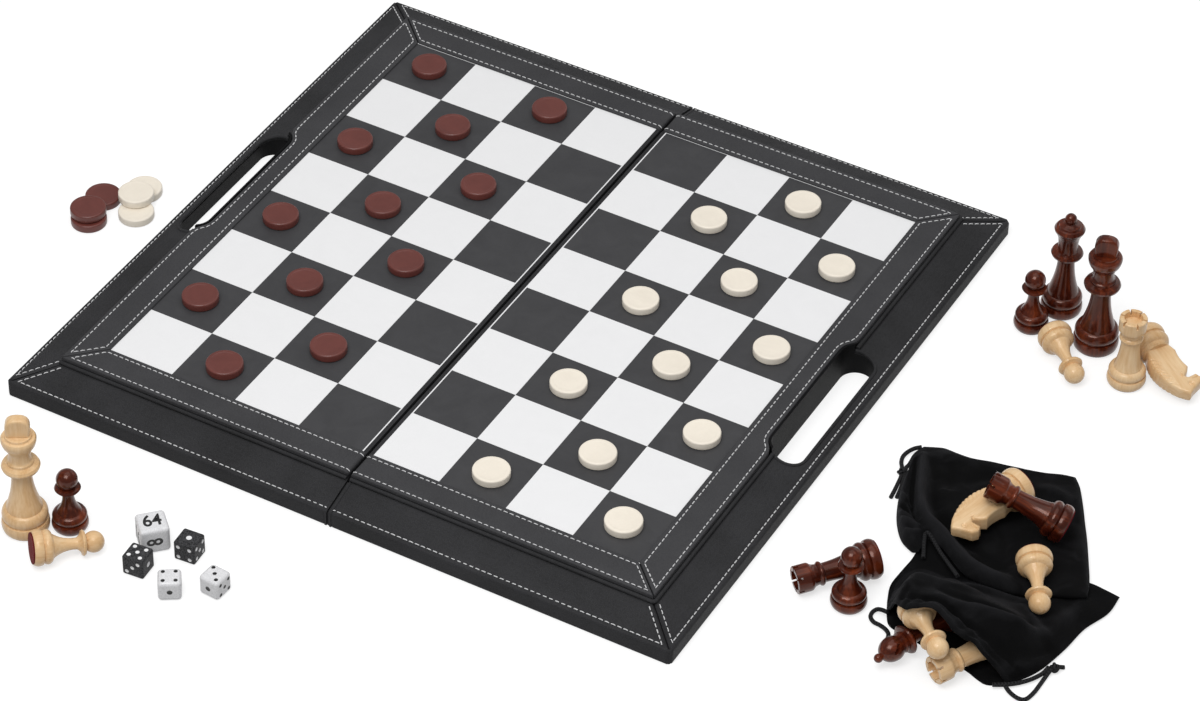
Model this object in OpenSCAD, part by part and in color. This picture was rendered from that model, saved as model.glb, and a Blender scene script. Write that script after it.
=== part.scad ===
// Games compendium: a folding leatherette case with a chess field outside and a backgammon field
// inside, and the draughtsmen, dice, turned chess pieces and drawstring bags that go in it.
// Millimetres. The origin is on the table, at the middle of the fold. +X runs across the fold to
// the right-hand half, +Y along the fold to the far end, +Z up from the table.
// Case pieces are drawn for the right-hand half. The left-hand half is their mirror image.

/* [Chess field] */
// Side of one chess square
square = 38.1; // [30:0.1:44]
// Distance from the fold line to the first column of squares
field_gap = 2.9; // [2.3:0.1:5]
// Height of the playing surface above the table
field_z = 18; // [17.2:0.2:22]
// Thickness of the playing sheet
field_t = 0.8; // [0.5:0.1:1.2]
// Thickness of the white print on the sheet
print_t = 0.12; // [0.05:0.01:0.3]
// Width of the white line printed round the field
line_w = 0.7; // [0.4:0.1:1]

/* [Border and skirt] */
// Width of the raised border strip
strip_w = 17; // [12:0.5:24]
// Height of the border strip above the playing surface
strip_rise = 1.2; // [0.6:0.1:2]
// Rounding of the border strip's top edges
strip_round = 0.7; // [0.3:0.1:0.9]
// Width of the sloping skirt
skirt_w = 21; // [20:0.5:26]
// Height of the skirt where it meets the border
shoulder_z = 15; // [14:0.2:15.8]
// Height of the skirt at its outer edge
rim_z = 9; // [6:0.5:11]
// Rounding of the skirt's outer top edge
rim_round = 1.6; // [0.8:0.1:2.4]
// Rounding of the case's outer corners, seen from above
corner_r = 3; // [1:0.5:6]
// Thickness of the padded leatherette cover
cover_t = 1.2; // [0.8:0.1:1.6]

/* [Frame and tray] */
// Gap between the fold walls of the two halves
fold_gap = 1.5; // [1.3:0.1:3]
// Width of the rail along the fold
fold_rail_w = 12; // [9:0.5:16]
// Width of the rail along the handle side
side_rail_w = 33.3; // [30:0.1:36]
// Width of the rails at the far and near ends
end_rail_w = 26.4; // [18:0.2:30]
// Thickness of the backgammon sheet
inlay_t = 0.8; // [0.5:0.1:1.2]
// Thickness of the backgammon points laid on the sheet
point_t = 0.3; // [0.1:0.05:0.5]
// Length of a backgammon point
point_l = 136; // [90:1:140]

/* [Hand slots] */
// Length of the hand slot
slot_l = 94; // [70:1:120]
// Width of the hand slot
slot_w = 18; // [14:0.5:18.5]
// Width of the grip bar outside the slot
grip_w = 6.8; // [6:0.1:9]

/* [Hinge and closing] */
// Thickness of the hinge strip
hinge_t = 0.8; // [0.5:0.1:1.2]
// Clearance between the two flaps of the hinge strip
hinge_gap = 0.3; // [0.2:0.05:0.5]
// How far the hinge strip stops short of the case's ends
hinge_short = 3; // [2:0.5:10]
// Diameter of a closing magnet
magnet_d = 10; // [6:0.5:12]
// Thickness of a closing magnet
magnet_t = 2; // [1:0.5:4]
// Depth of a magnet below the rim
magnet_in = 0.5; // [0.3:0.1:1]
// Distance of the magnets from the middle of the side rail
magnet_y = 78; // [72:1:120]
// Clearance round a magnet in its pocket
magnet_fit = 0.1; // [0.05:0.05:0.3]

/* [Draughtsmen] */
// Diameter of a draughtsman
man_d = 19.4; // [16:0.2:21]
// Thickness of a draughtsman
man_t = 4.6; // [3.5:0.1:6]
// Rounding of a draughtsman's edges
man_round = 0.9; // [0.4:0.1:1.4]
// Diameter of the shallow dish in a draughtsman's top
dish_d = 15.4; // [10:0.2:15.6]
// Depth of that dish
dish_in = 0.15; // [0.05:0.05:0.4]
// Clearance between two stacked men
stack_gap = 0.05; // [0.03:0.01:0.1]
// Step in which the men were put down off centre
nudge = 0.5; // [0:0.1:1]

/* [Dice] */
// Side of a die
die_w = 11.6; // [9:0.2:13]
// Diameter of a pip
pip_d = 2.1; // [1.4:0.1:2.4]
// Depth of a pip
pip_in = 0.25; // [0.1:0.05:0.5]
// Side of the doubling cube
cube_w = 15; // [13:0.5:18]
// Diameter of the sphere that rounds the doubling cube's corners
cube_ball = 23; // [21.5:0.5:25.5]
// Diameter of the sphere that rounds a die's corners
die_ball = 18; // [16.5:0.5:19.5]

/* [Chess pieces] */
// Height of the king
king_h = 72; // [60:1:80]
// Base diameter of the king
king_d = 24.2; // [20:0.2:25]
// Height of the queen
queen_h = 64; // [54:1:72]
// Base diameter of the queen
queen_d = 22.2; // [18:0.2:23.6]
// Height of the bishop
bishop_h = 54; // [46:1:60]
// Base diameter of the bishop
bishop_d = 21.6; // [17:0.2:22]
// Height of the knight
knight_h = 48; // [42:1:54]
// Base diameter of the knight
knight_d = 21.6; // [17:0.2:22]
// Thickness of the knight's head
knight_t = 10; // [8:0.5:12]
// Height of the rook
rook_h = 43; // [38:1:50]
// Base diameter of the rook
rook_d = 20.6; // [16:0.2:21]
// Height of the pawn
pawn_h = 36.5; // [32:0.5:38]
// Base diameter of the pawn
pawn_d = 18.6; // [15:0.2:19]
// Thickness of the felt under a base
felt_t = 0.6; // [0.4:0.1:1]
// How far the felt stays inside the base
felt_in = 1.4; // [1:0.1:2]
// Clearance under a piece that lies on its side
lie_gap = 0.15; // [0.1:0.05:0.3]

/* [Bags] */
// Thickness of a bag that lies flat
bag_t = 8.5; // [7:0.5:8.5]
// Thickness of the velvet at the open bag's mouth
velvet_t = 1.2; // [0.8:0.1:2]
// Diameter of the drawstring
cord_d = 2.2; // [1.6:0.1:3]
// Diameter of a knot in the drawstring
knot_d = 5; // [4:0.2:6]

/* [Hidden] */
$fn = 48;

// The field: four columns on each half, eight rows
half_cols = 4;
rows = 8;
// Backgammon points along one end of a half
end_points = 6;

fold_x = fold_gap / 2;
field_x = field_gap + half_cols * square;
field_y = rows * square / 2;
step_x = field_x + strip_w;
step_y = field_y + strip_w;
out_x = step_x + skirt_w;
out_y = step_y + skirt_w;
board_bot = shoulder_z - cover_t;
board_top = field_z - field_t;
strip_top = field_z + strip_rise;
skirt_a = atan((shoulder_z - rim_z) / skirt_w);
tray_x0 = fold_x + fold_rail_w;
tray_x1 = out_x - side_rail_w;
tray_y = out_y - end_rail_w;
slot_x = out_x - grip_w - slot_w / 2;
hinge_y = out_y - hinge_short;
// Past every face of the case, for cutting solids
over = 300;
// Keeps neighbouring printed squares from sharing an edge
print_in = 0.05;

leather = [0.17, 0.17, 0.18];
board_black = [0.12, 0.12, 0.12];
board_white = [0.93, 0.93, 0.93];
timber = [0.72, 0.58, 0.4];
red_brown = [0.48, 0.22, 0.19];
cream = [0.93, 0.89, 0.82];
boxwood = [0.85, 0.68, 0.46];
dark_wood = [0.24, 0.09, 0.05];
felt_red = [0.42, 0.12, 0.13];
velvet = [0.05, 0.05, 0.05];

// Solid with outline [x, z] that runs along Y between two ends
module along_y(y0, y1) {
    translate([0, y1, 0]) rotate([90, 0, 0]) linear_extrude(y1 - y0) children();
}

// Solid with outline [y, z] that runs along X between two ends
module along_x(x0, x1) {
    translate([x0, 0, 0]) rotate([90, 0, 90]) linear_extrude(x1 - x0) children();
}

// Height of the skirt's surface at a distance u outside the border
function skirt_z(u) = shoulder_z - (shoulder_z - rim_z) * u / skirt_w;

// Outline of a half from its middle to its rim, with the outer top edge rounded
function rim_outline(step) =
    let (cx = step + skirt_w - rim_round,
         cz = skirt_z(skirt_w - rim_round) - rim_round / cos(skirt_a))
    concat([[0, 0], [step + skirt_w, 0]],
           [for (i = [0:5]) let (a = i / 5 * (90 - skirt_a)) [cx + rim_round * cos(a), cz + rim_round * sin(a)]],
           [[step, shoulder_z], [0, shoulder_z]]);

// Outline of the wooden rails below the cover
function rail_outline(step) = [
    [0, 0], [step + skirt_w - cover_t, 0],
    [step + skirt_w - cover_t, skirt_z(skirt_w - cover_t) - cover_t],
    [step, board_bot], [0, board_bot]
];

// An outline and its reflection in the middle line
function both_sides(p) = concat(p, [for (i = [len(p) - 1:-1:0]) if (p[i][0] > 0) [-p[i][0], p[i][1]]]);

// Solid of a half under the skirt's surface
module under_skirt() {
    intersection() {
        along_y(-over, over) polygon(rim_outline(step_x));
        along_x(fold_x, over) polygon(both_sides(rim_outline(step_y)));
        linear_extrude(over) plan_outline();
    }
}

// A half seen from above, with its outer corners rounded
module plan_outline() {
    difference() {
        translate([fold_x, -out_y]) square([out_x - fold_x, 2 * out_y]);
        for (s = [-1, 1]) difference() {
            translate([out_x - corner_r, s * (out_y - corner_r / 2) - corner_r / 2])
                square([corner_r + 1, corner_r]);
            translate([out_x - corner_r, s * (out_y - corner_r)]) circle(corner_r);
        }
    }
}

// Solid of a half below the cover, without the board panel
module under_cover() {
    intersection() {
        along_y(-over, over) polygon(rail_outline(step_x));
        along_x(fold_x + cover_t, over) polygon(both_sides(rail_outline(step_y)));
    }
}

// A flat slot with round ends, centred, l long over all
module slot_outline(w, l) {
    square([w, l - w], center = true);
    for (s = [-1, 1]) translate([0, s * (l - w) / 2]) circle(w / 2);
}

// The hand slot as a cutting solid, wider by grow on every side
module slot_cut(grow) {
    translate([slot_x, 0, -1]) linear_extrude(over) slot_outline(slot_w + 2 * grow, slot_l + 2 * grow);
}

// Parts of a half between its mitres: side, far or near
module side_wedge() {
    apex = field_x - field_y;
    translate([0, 0, -1]) linear_extrude(over)
        polygon([[apex, 0], [over, over - apex], [over, apex - over]]);
}

module end_wedge(s) {
    apex = field_x - field_y;
    translate([0, 0, -1]) linear_extrude(over)
        polygon([[0, 0], [apex, 0], [over, s * (over - apex)], [0, s * over]]);
}

// Where the hinge flap lies under the rails
module hinge_seat() {
    translate([0, -hinge_y, -1]) cube([tray_x0, 2 * hinge_y, hinge_t + 1]);
}

// ---- wooden frame ----

module fold_rail() {
    color(timber) translate([fold_x + cover_t, -tray_y, hinge_t])
        cube([fold_rail_w - cover_t, 2 * tray_y, board_bot - hinge_t]);
}

module side_rail() {
    color(timber) difference() {
        intersection() {
            under_cover();
            translate([tray_x1, -tray_y, 0]) cube([side_rail_w, 2 * tray_y, board_bot]);
        }
        slot_cut(cover_t);
        for (s = [-1, 1]) translate([slot_x, s * magnet_y, -1])
            cylinder(h = 1 + magnet_in + magnet_t, d = magnet_d + 2 * magnet_fit);
    }
}

module end_rail(s) {
    color(timber) difference() {
        intersection() {
            under_cover();
            translate([0, s * (tray_y + over / 2), over / 2]) cube(over * [2, 1, 1], center = true);
            linear_extrude(over) offset_corner();
        }
        hinge_seat();
    }
}

// The plan outline without its cover, for the end rails
module offset_corner() {
    difference() {
        translate([0, -out_y + cover_t]) square([out_x - cover_t, 2 * (out_y - cover_t)]);
        for (s = [-1, 1]) difference() {
            translate([out_x - corner_r, s * (out_y - corner_r / 2) - corner_r / 2])
                square([corner_r + 1, corner_r]);
            translate([out_x - corner_r, s * (out_y - corner_r)]) circle(max(corner_r - cover_t, 0.3));
        }
    }
}

module board_panel() {
    color(timber) difference() {
        translate([fold_x + cover_t, -step_y + cover_t, board_bot])
            cube([step_x - fold_x - 2 * cover_t, 2 * (step_y - cover_t), board_top - board_bot]);
        slot_cut(cover_t);
    }
}

// ---- playing surfaces ----

module chess_field() {
    color(board_black) translate([field_gap, -field_y, board_top]) cube([half_cols * square, 2 * field_y, field_t]);
}

// Light squares and the thin line round the field. flip is 1 where the square next to the fold
// at the far end is light, and 0 where it is dark
module light_squares(flip) {
    color(board_white) {
        for (c = [0:half_cols - 1], r = [0:rows - 1]) if ((c + r + flip) % 2 == 1)
            translate([field_gap + c * square + print_in, field_y - (r + 1) * square + print_in, field_z])
                cube([square - 2 * print_in, square - 2 * print_in, print_t]);
        translate([field_gap, -field_y, field_z]) linear_extrude(print_t) difference() {
            translate([print_in, print_in])
                square([half_cols * square - 2 * print_in, 2 * field_y - 2 * print_in]);
            translate([line_w, line_w]) square([half_cols * square - 2 * line_w, 2 * (field_y - line_w)]);
        }
    }
}

module backgammon_sheet() {
    color(leather) translate([tray_x0, -tray_y, board_bot - inlay_t])
        cube([tray_x1 - tray_x0, 2 * tray_y, inlay_t]);
}

module backgammon_points() {
    point_w = (tray_x1 - tray_x0) / end_points;
    color(board_white) for (s = [-1, 1], i = [0:end_points - 1])
        translate([tray_x0 + (i + 0.5) * point_w, s * tray_y, board_bot - inlay_t - point_t])
            linear_extrude(point_t) polygon([
                [-point_w / 2 + print_in, 0], [point_w / 2 - print_in, 0], [0, -s * point_l]
            ]);
}

// ---- leatherette ----

// Section of a border strip, from the field's edge outwards
function strip_outline(edge) = [
    [edge, board_top], [edge, strip_top - strip_round], [edge + strip_round, strip_top],
    [edge + strip_w - strip_round, strip_top], [edge + strip_w, strip_top - strip_round],
    [edge + strip_w, board_top]
];

module side_strip() {
    color(leather) difference() {
        intersection() {
            along_y(-over, over) polygon(strip_outline(field_x));
            side_wedge();
        }
        slot_cut(cover_t);
    }
}

module end_strip(s) {
    color(leather) intersection() {
        along_x(fold_x, over) polygon([for (p = strip_outline(field_y)) [s * p[0], p[1]]]);
        end_wedge(s);
    }
}

// The cover of skirt, rim wall and step, all round a half
module skirt_shell() {
    difference() {
        union() {
            under_skirt();
            translate([fold_x, -step_y, 0]) cube([step_x - fold_x, 2 * step_y, board_top]);
        }
        under_cover();
        translate([-1, -step_y + cover_t, -1]) cube([step_x - cover_t + 1, 2 * (step_y - cover_t), over]);
        translate([-1, -over, -1]) cube([fold_x + cover_t + 1, 2 * over, over]);
        slot_cut(cover_t);
    }
}

module side_skirt() {
    color(leather) intersection() {
        skirt_shell();
        side_wedge();
    }
}

module end_skirt(s) {
    color(leather) difference() {
        intersection() {
            skirt_shell();
            end_wedge(s);
        }
        end_rail_corner(s);
    }
}

// The corner of an end rail, which the cover's rounded corner clears
module end_rail_corner(s) {
    intersection() {
        under_cover();
        translate([0, s * (tray_y + over / 2), over / 2]) cube(over * [2, 1, 1], center = true);
        linear_extrude(over) offset_corner();
    }
}

// The cover of the fold wall: the end view of a half, and the lip beside the field
module spine_cover() {
    color(leather) difference() {
        union() {
            intersection() {
                under_skirt();
                translate([fold_x, -over, 0]) cube([cover_t, 2 * over, over]);
            }
            translate([fold_x, -step_y, 0]) cube([cover_t, 2 * step_y, board_top]);
            translate([fold_x, -field_y, board_top - 0.01])
                cube([field_gap - fold_x, 2 * field_y, field_t + 0.01]);
        }
        translate([fold_x + cover_t, -over, -1]) cube([over, 2 * over, board_top + 1]);
        hinge_seat();
    }
}

module slot_lining() {
    color(leather) intersection() {
        difference() {
            translate([slot_x, 0, 0]) linear_extrude(over)
                slot_outline(slot_w + 2 * cover_t, slot_l + 2 * cover_t);
            slot_cut(0);
        }
        along_y(-over, over) polygon([
            [0, 0], [out_x, 0], [out_x, rim_z], [step_x, shoulder_z], [step_x, strip_top], [0, strip_top]
        ]);
    }
}

module magnets() {
    color("silver") for (s = [-1, 1])
        translate([slot_x, s * magnet_y, magnet_in]) cylinder(h = magnet_t, d = magnet_d);
}

// The hinge strip, cut at the fold line. The left flap carries the web that bridges the gap
module hinge_flap(inner) {
    color(leather) translate([inner, -hinge_y, 0]) cube([tray_x0 - inner, 2 * hinge_y, hinge_t]);
}

// ---- draughtsmen ----

module man() {
    r = man_d / 2;
    rotate_extrude() polygon(concat(
        [[0, 0]],
        [for (i = [0:3]) let (a = -90 + 30 * i) [r - man_round + man_round * cos(a), man_round + man_round * sin(a)]],
        [for (i = [0:3]) let (a = 30 * i) [r - man_round + man_round * cos(a), man_t - man_round + man_round * sin(a)]],
        [[dish_d / 2, man_t], [dish_d / 2 - dish_in, man_t - dish_in], [0, man_t - dish_in]]
    ));
}

// Where the men stand: column and row from the far left, and how many nudges off centre they were put down
BROWN_AT = [
    [0, 0, -1, 2], [2, 0, 0, 2], [1, 1, 1, -2], [0, 2, -1, -1], [2, 2, 1, 0], [1, 3, 6, -3],
    [0, 4, -1, 2], [2, 4, 1, 3], [1, 5, 3, -1], [0, 6, -1, 0], [2, 6, 3, 0], [1, 7, 3, -1]
];
CREAM_AT = [
    [6, 0, -2, -2], [5, 1, 0, 0], [7, 1, 1, -2], [6, 2, 0, 1], [5, 3, 2, -1], [7, 3, 3, -1],
    [6, 4, 2, 2], [5, 5, 2, 0], [7, 5, 3, 1], [6, 6, 4, -2], [5, 7, 2, -2], [7, 7, -2, 1]
];

// X of the middle of a column, and Y of the middle of a row
function col_x(c) = c < half_cols ? -field_gap + (c - half_cols + 0.5) * square
                                  : field_gap + (c - half_cols + 0.5) * square;
function row_y(r) = field_y - (r + 0.5) * square;

module men_on_field(places) {
    for (p = places) translate([col_x(p[0]) + p[2] * nudge, row_y(p[1]) + p[3] * nudge, field_z]) man();
}

// Spare men on the table, left of the case: [x from its edge, y, men below it]
SPARE_BROWN = [[-42.7, -54, 0], [-46.7, -34.5, 0], [-44.2, -52, 1]];
SPARE_CREAM = [[-31.2, -18, 0], [-23.7, -37, 0], [-29.2, -28.5, 1]];

module spare_men(places) {
    for (p = places) translate([p[0] - out_x, p[1], p[2] * (man_t + stack_gap)]) man();
}

// ---- dice ----

// Places of the pips of face n on a square of half side 1
function pip_places(n) = concat(
    n % 2 == 1 ? [[0, 0]] : [],
    n > 1 ? [[-1, 1], [1, -1]] : [],
    n > 3 ? [[1, 1], [-1, -1]] : [],
    n == 6 ? [[0, 1], [0, -1]] : []);

module pips(n, turn) {
    pitch = die_w * 0.27;
    rotate([0, 0, turn]) for (p = pip_places(n))
        translate([p[0] * pitch, p[1] * pitch, die_w / 2 - pip_in]) cylinder(h = 1, d = pip_d, $fn = 24);
}

// A die with the numbers of its top, front and right faces. Opposite faces add up to seven
module die(top, front, right) {
    translate([0, 0, die_w / 2]) difference() {
        intersection() {
            cube(die_w, center = true);
            sphere(d = die_ball);
        }
        pips(top, 0);
        rotate([180, 0, 0]) pips(7 - top, 0);
        rotate([90, 0, 0]) pips(front, 90);
        rotate([-90, 0, 0]) pips(7 - front, 0);
        rotate([0, 90, 0]) pips(right, 0);
        rotate([0, -90, 0]) pips(7 - right, 0);
    }
}

module black_dice() {
    color(board_black) {
        translate([-47.1, -out_y - 51.9, 0]) rotate([0, 0, 4.5]) die(1, 4, 5);
        translate([-63.1, -out_y - 73.1, 0]) rotate([0, 0, 4.5]) die(5, 3, 1);
    }
}

module white_dice() {
    color(board_white) {
        translate([-40.6, -out_y - 79.1, 0]) rotate([0, 0, 33]) die(4, 1, 2);
        translate([-22.5, -out_y - 66.6, 0]) rotate([0, 0, -4]) die(3, 1, 5);
    }
}

module doubling_cube() {
    color(board_white) translate([-67.3, -out_y - 53.9, cube_w / 2]) rotate([0, 0, 46]) intersection() {
        cube(cube_w, center = true);
        sphere(d = cube_ball);
    }
}

// ---- turned chess pieces ----

// A curve from a to b that stands out by s at its middle
function bulge(a, b, s, n = 5) =
    [for (i = [0:n]) let (t = i / n) a + t * (b - a) + 4 * t * (1 - t) * s * [b[1] - a[1], a[0] - b[0]] / norm(b - a)];

// A ball's outline from a start angle to its top
function ball(z, r, from, n = 7) =
    [for (i = [0:n]) let (a = from + (90 - from) * i / n) [r * cos(a), z + r * sin(a)]];

// The double-ringed foot that every piece stands on, drawn for base radius r and ring heights
function foot(r, ring1, ring2) = concat(
    [[0, 0], [r - 0.9, 0]], bulge([r - 0.6, 0.4], [r - 0.5, ring1], 0.5, 4),
    bulge([r - 0.9, ring1 + 0.5], [r - 1.7, ring2], 0.8, 4), [[r - 2.8, ring2 + 0.5]]);

// Outlines as [radius, height] in the sizes they are drawn at. turned() fits them to their size
PAWN_SIZE = [9, 35];
PAWN_LINE = concat(foot(9, 4.6, 9.2), bulge([5.9, 9.9], [2.9, 21.6], -1.1, 6),
    bulge([3.3, 22.1], [6, 23.8], -0.3, 3), [[6.4, 24.5], [5.9, 25.3]], ball(29.7, 5.3, -45));

ROOK_SIZE = [10.3, 44];
ROOK_LINE = concat(foot(10.3, 5, 10.2), [[7.3, 11.4]], bulge([6.9, 12], [4.9, 28.8], -0.5),
    bulge([5.5, 29.2], [5.5, 31.6], 0.7, 4), [[5.1, 32]], bulge([5.3, 32.4], [7, 36], -0.4, 3),
    [[7.2, 37], [7.2, 43.6], [6.8, 44], [0, 44]]);

BISHOP_SIZE = [10.8, 54];
BISHOP_LINE = concat(foot(10.8, 5.2, 10.8), bulge([7.4, 12.4], [4.1, 30.6], -0.7),
    bulge([4.6, 31.1], [7.4, 33], -0.2, 3), [[7.7, 33.8], [7.2, 34.6], [4.9, 35.4], [5.4, 36], [5.4, 37], [4.5, 37.6]],
    bulge([4.6, 38], [6.3, 42.4], 0.4, 3), bulge([6.2, 43.2], [1.8, 49.9], 1.1, 5), ball(51.7, 2.3, -45, 5));

QUEEN_SIZE = [11.5, 64];
QUEEN_LINE = concat(foot(11.5, 5.6, 11.6), bulge([8.3, 13.4], [4.6, 34.8], -0.9, 6),
    bulge([5.2, 35.4], [8.4, 37.4], -0.3, 3), [[8.8, 38.5], [8.2, 39.6], [5.8, 40.4]],
    bulge([5.6, 41], [6.2, 50], -0.4, 4), bulge([6.6, 50.6], [8.2, 53.6], -0.2, 3),
    [[8.4, 54.6], [7.4, 56], [6.2, 56.2], [5.8, 57], [4, 57.4], [2.6, 58.2]], ball(60.7, 3.3, -40, 6));

KING_SIZE = [12.4, 72];
KING_LINE = concat(foot(12.4, 6.2, 12.8), bulge([9.1, 14.8], [5.2, 36.8], -1, 6),
    bulge([6, 37.5], [9.5, 39.8], -0.3, 3), [[9.9, 41.1], [9.2, 42.4], [6.9, 43.2], [6.8, 44.6], [6, 45.2]],
    bulge([5.8, 45.8], [6.4, 52], -0.4, 4), bulge([6.6, 52.4], [9, 57.6], 0.5, 4),
    [[9.1, 58.8], [8.5, 59.8], [7, 60], [6.8, 61.2], [0, 61.2]]);
// The king's finial, a slab with rounded shoulders: half its outline as [x, z]
FINIAL_HALF = [[0, 72], [3, 71.6], [5, 70.4], [6.1, 68.4], [6.3, 66], [5.7, 60.6]];
FINIAL_T = 6.2;

KNIGHT_SIZE = [10.8, 48];
KNIGHT_LINE = concat(foot(10.8, 5.2, 10.8), [[7.6, 12.4], [7.9, 13.4], [7.2, 14.2], [0, 14.2]]);
// The knight's mane, its head seen from its side and its mouth, as [x, z], facing +X
KNIGHT_MANE = bulge([-8.2, 18], [-6, 40], -2.2, 8);
KNIGHT_MOUTH = [[6.6, 39.4], [12, 39.6], [12, 38.6]];
KNIGHT_HEAD = concat(
    [[-6.4, 13.4]], KNIGHT_MANE,
    [[-4, 43.6], [-1.4, 46.6], [0.4, 48], [3.8, 45.6], [9.8, 42.6], [11, 39.4], [9.4, 36.6], [4.6, 37.4],
     [3.4, 36], [6.2, 33.8]], bulge([8.2, 31], [8, 18.6], 1, 5), [[6.6, 13.4]]);

function fitted(line, drawn, d, h) = [for (p = line) [p[0] * d / 2 / drawn[0], felt_t + p[1] * (h - felt_t) / drawn[1]]];

module turned(line) {
    rotate_extrude() polygon(line);
}

PAWN = fitted(PAWN_LINE, PAWN_SIZE, pawn_d, pawn_h);
ROOK = fitted(ROOK_LINE, ROOK_SIZE, rook_d, rook_h);
BISHOP = fitted(BISHOP_LINE, BISHOP_SIZE, bishop_d, bishop_h);
QUEEN = fitted(QUEEN_LINE, QUEEN_SIZE, queen_d, queen_h);
KING = fitted(KING_LINE, KING_SIZE, king_d, king_h);
KNIGHT = fitted(KNIGHT_LINE, KNIGHT_SIZE, knight_d, knight_h);
// Half the knight's thickness at its foot and at its ears
CHEEK = [[knight_t / 2, knight_h / 2], [knight_t * 0.34, knight_h]];

module pawn() {
    turned(PAWN);
}

module rook() {
    well_d = rook_d * 0.47;
    well_in = 3.6;
    notch_in = 2.6;
    notch_w = 1.2;
    difference() {
        turned(ROOK);
        translate([0, 0, rook_h - well_in]) cylinder(h = well_in + 1, d = well_d);
        for (a = [0, 60, 120]) rotate([0, 0, a])
            translate([-rook_d, -notch_w / 2, rook_h - notch_in]) cube([2 * rook_d, notch_w, notch_in + 1]);
    }
}

module bishop() {
    slit_w = 1;
    slit_z = bishop_h * 0.8;
    difference() {
        turned(BISHOP);
        translate([0, 0, slit_z]) rotate([0, -50, 0]) translate([slit_w, -bishop_d / 2, 0])
            cube([bishop_d, bishop_d, slit_w]);
    }
}

module queen() {
    turned(QUEEN);
}

module king() {
    t = FINIAL_T * king_d / 2 / KING_SIZE[0];
    half = fitted(FINIAL_HALF, KING_SIZE, king_d, king_h);
    turned(KING);
    along_y(-t / 2, t / 2) polygon(concat(half, [for (i = [len(half) - 1:-1:1]) [-half[i][0], half[i][1]]]));
}

module knight() {
    mane = fitted(KNIGHT_MANE, KNIGHT_SIZE, knight_d, knight_h);
    mane_cut = 1.8;
    turned(KNIGHT);
    intersection() {
        along_y(-knight_t / 2, knight_t / 2) difference() {
            polygon(fitted(KNIGHT_HEAD, KNIGHT_SIZE, knight_d, knight_h));
            polygon(fitted(KNIGHT_MOUTH, KNIGHT_SIZE, knight_d, knight_h));
            for (i = [1:len(mane) - 2]) translate(mane[i]) rotate(45) square(mane_cut, center = true);
        }
        along_x(-knight_d, knight_d) polygon([
            [-CHEEK[0][0], 0], [CHEEK[0][0], 0], CHEEK[0], CHEEK[1],
            [-CHEEK[1][0], CHEEK[1][1]], [-CHEEK[0][0], CHEEK[0][1]]
        ]);
    }
}

// Stands, leans or lays a piece: at is its base centre, az the way its top points, pitch how steeply
module placed(p) {
    translate([p[0], p[1], p[2]]) rotate([0, 0, p[3]]) rotate([0, 90 - p[4], 0]) rotate([0, 0, p[5]]) children();
}

// Where a lying piece touches beside its foot: the pitch at which the foot's ring and the outline's
// next widest place both touch, and the height of the base centre then
function widest(line) = max([for (p = line) p[0]]);
function ring_of(line) = [for (p = line) if (p[0] > widest(line) - 0.001) p][0];
function rest_pitch(line) = let (ring = ring_of(line))
    -min([for (p = line) if (p[1] > ring[1] + 0.3 * widest(line)) atan((ring[0] - p[0]) / (p[1] - ring[1]))]);
function rest_z(line, pitch) = max([for (p = line) p[0] * cos(pitch) - p[1] * sin(pitch)]) + lie_gap;
function lying(x, y, z, az, line, roll) =
    [x, y, z + rest_z(line, rest_pitch(line)), az, rest_pitch(line), roll];

// [x, y, z, way the top points, pitch, roll] of each piece, placed from the case's edges
NATURAL_KING = [[-128, -out_y - 75.6, 0, 0, 90, 32]];
NATURAL_ROOKS = [
    [out_x + 103.5, 111.4, 0, 0, 90, 10],
    lying(out_x + 135.1, -100, velvet_t, -120, ROOK, 20)
];
NATURAL_KNIGHTS = [
    lying(out_x + 100.7, 136.5, 0, -35, concat(KNIGHT, CHEEK), 90),
    lying(out_x + 98.7, -8, bag_t, -111.5, concat(KNIGHT, CHEEK), 90)
];
NATURAL_PAWNS = [
    lying(-110.5, -out_y - 95.6, 0, 46, PAWN, 0),
    lying(out_x + 58.2, 117.5, 0, -43.5, PAWN, 0),
    lying(out_x + 124.2, -49, bag_t, -59, PAWN, 0),
    [out_x + 91.2, -115.6, 24.2, -42, -1, 0]
];
DARK_KING = [[out_x + 77.7, 130, 0, 0, 90, 16]];
DARK_QUEEN = [[out_x + 50.2, 147, 0, 0, 90, 0]];
DARK_BISHOP = [lying(out_x + 105, -93.8, velvet_t, -110.7, BISHOP, 200)];
DARK_ROOKS = [
    lying(out_x + 56.2, -82.5, 0, -132, ROOK, 15),
    [out_x + 129.7, -22.8, 18, 189.5, 20.5, 10]
];
DARK_PAWNS = [
    [-109.5, -out_y - 64.1, 0, 0, 90, 0],
    [out_x + 42.2, 126.5, 0, 0, 90, 0],
    [out_x + 54.2, -108.5, 0, 0, 90, 0]
];

module each_at(places) {
    for (p = places) placed(p) children();
}

module felt(d) {
    cylinder(h = felt_t, d = d - 2 * felt_in);
}

module base_felts() {
    color(felt_red) {
        each_at(concat(NATURAL_KING, DARK_KING)) felt(king_d);
        each_at(DARK_QUEEN) felt(queen_d);
        each_at(DARK_BISHOP) felt(bishop_d);
        each_at(NATURAL_KNIGHTS) felt(knight_d);
        each_at(concat(NATURAL_ROOKS, DARK_ROOKS)) felt(rook_d);
        each_at(concat(NATURAL_PAWNS, DARK_PAWNS)) felt(pawn_d);
    }
}

// ---- bags ----

// Bags and cords are drawn with x from the case's right edge.
// A pillow between corner points [x, y], bag_t thick, flat underneath
module pillow(corners) {
    r = bag_t / 2;
    intersection() {
        hull() for (c = corners) translate([c[0], c[1], r - 0.4]) sphere(r, $fn = 20);
        translate([0, -over, 0]) cube([2 * over, 2 * over, bag_t - 0.4]);
    }
}

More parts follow.
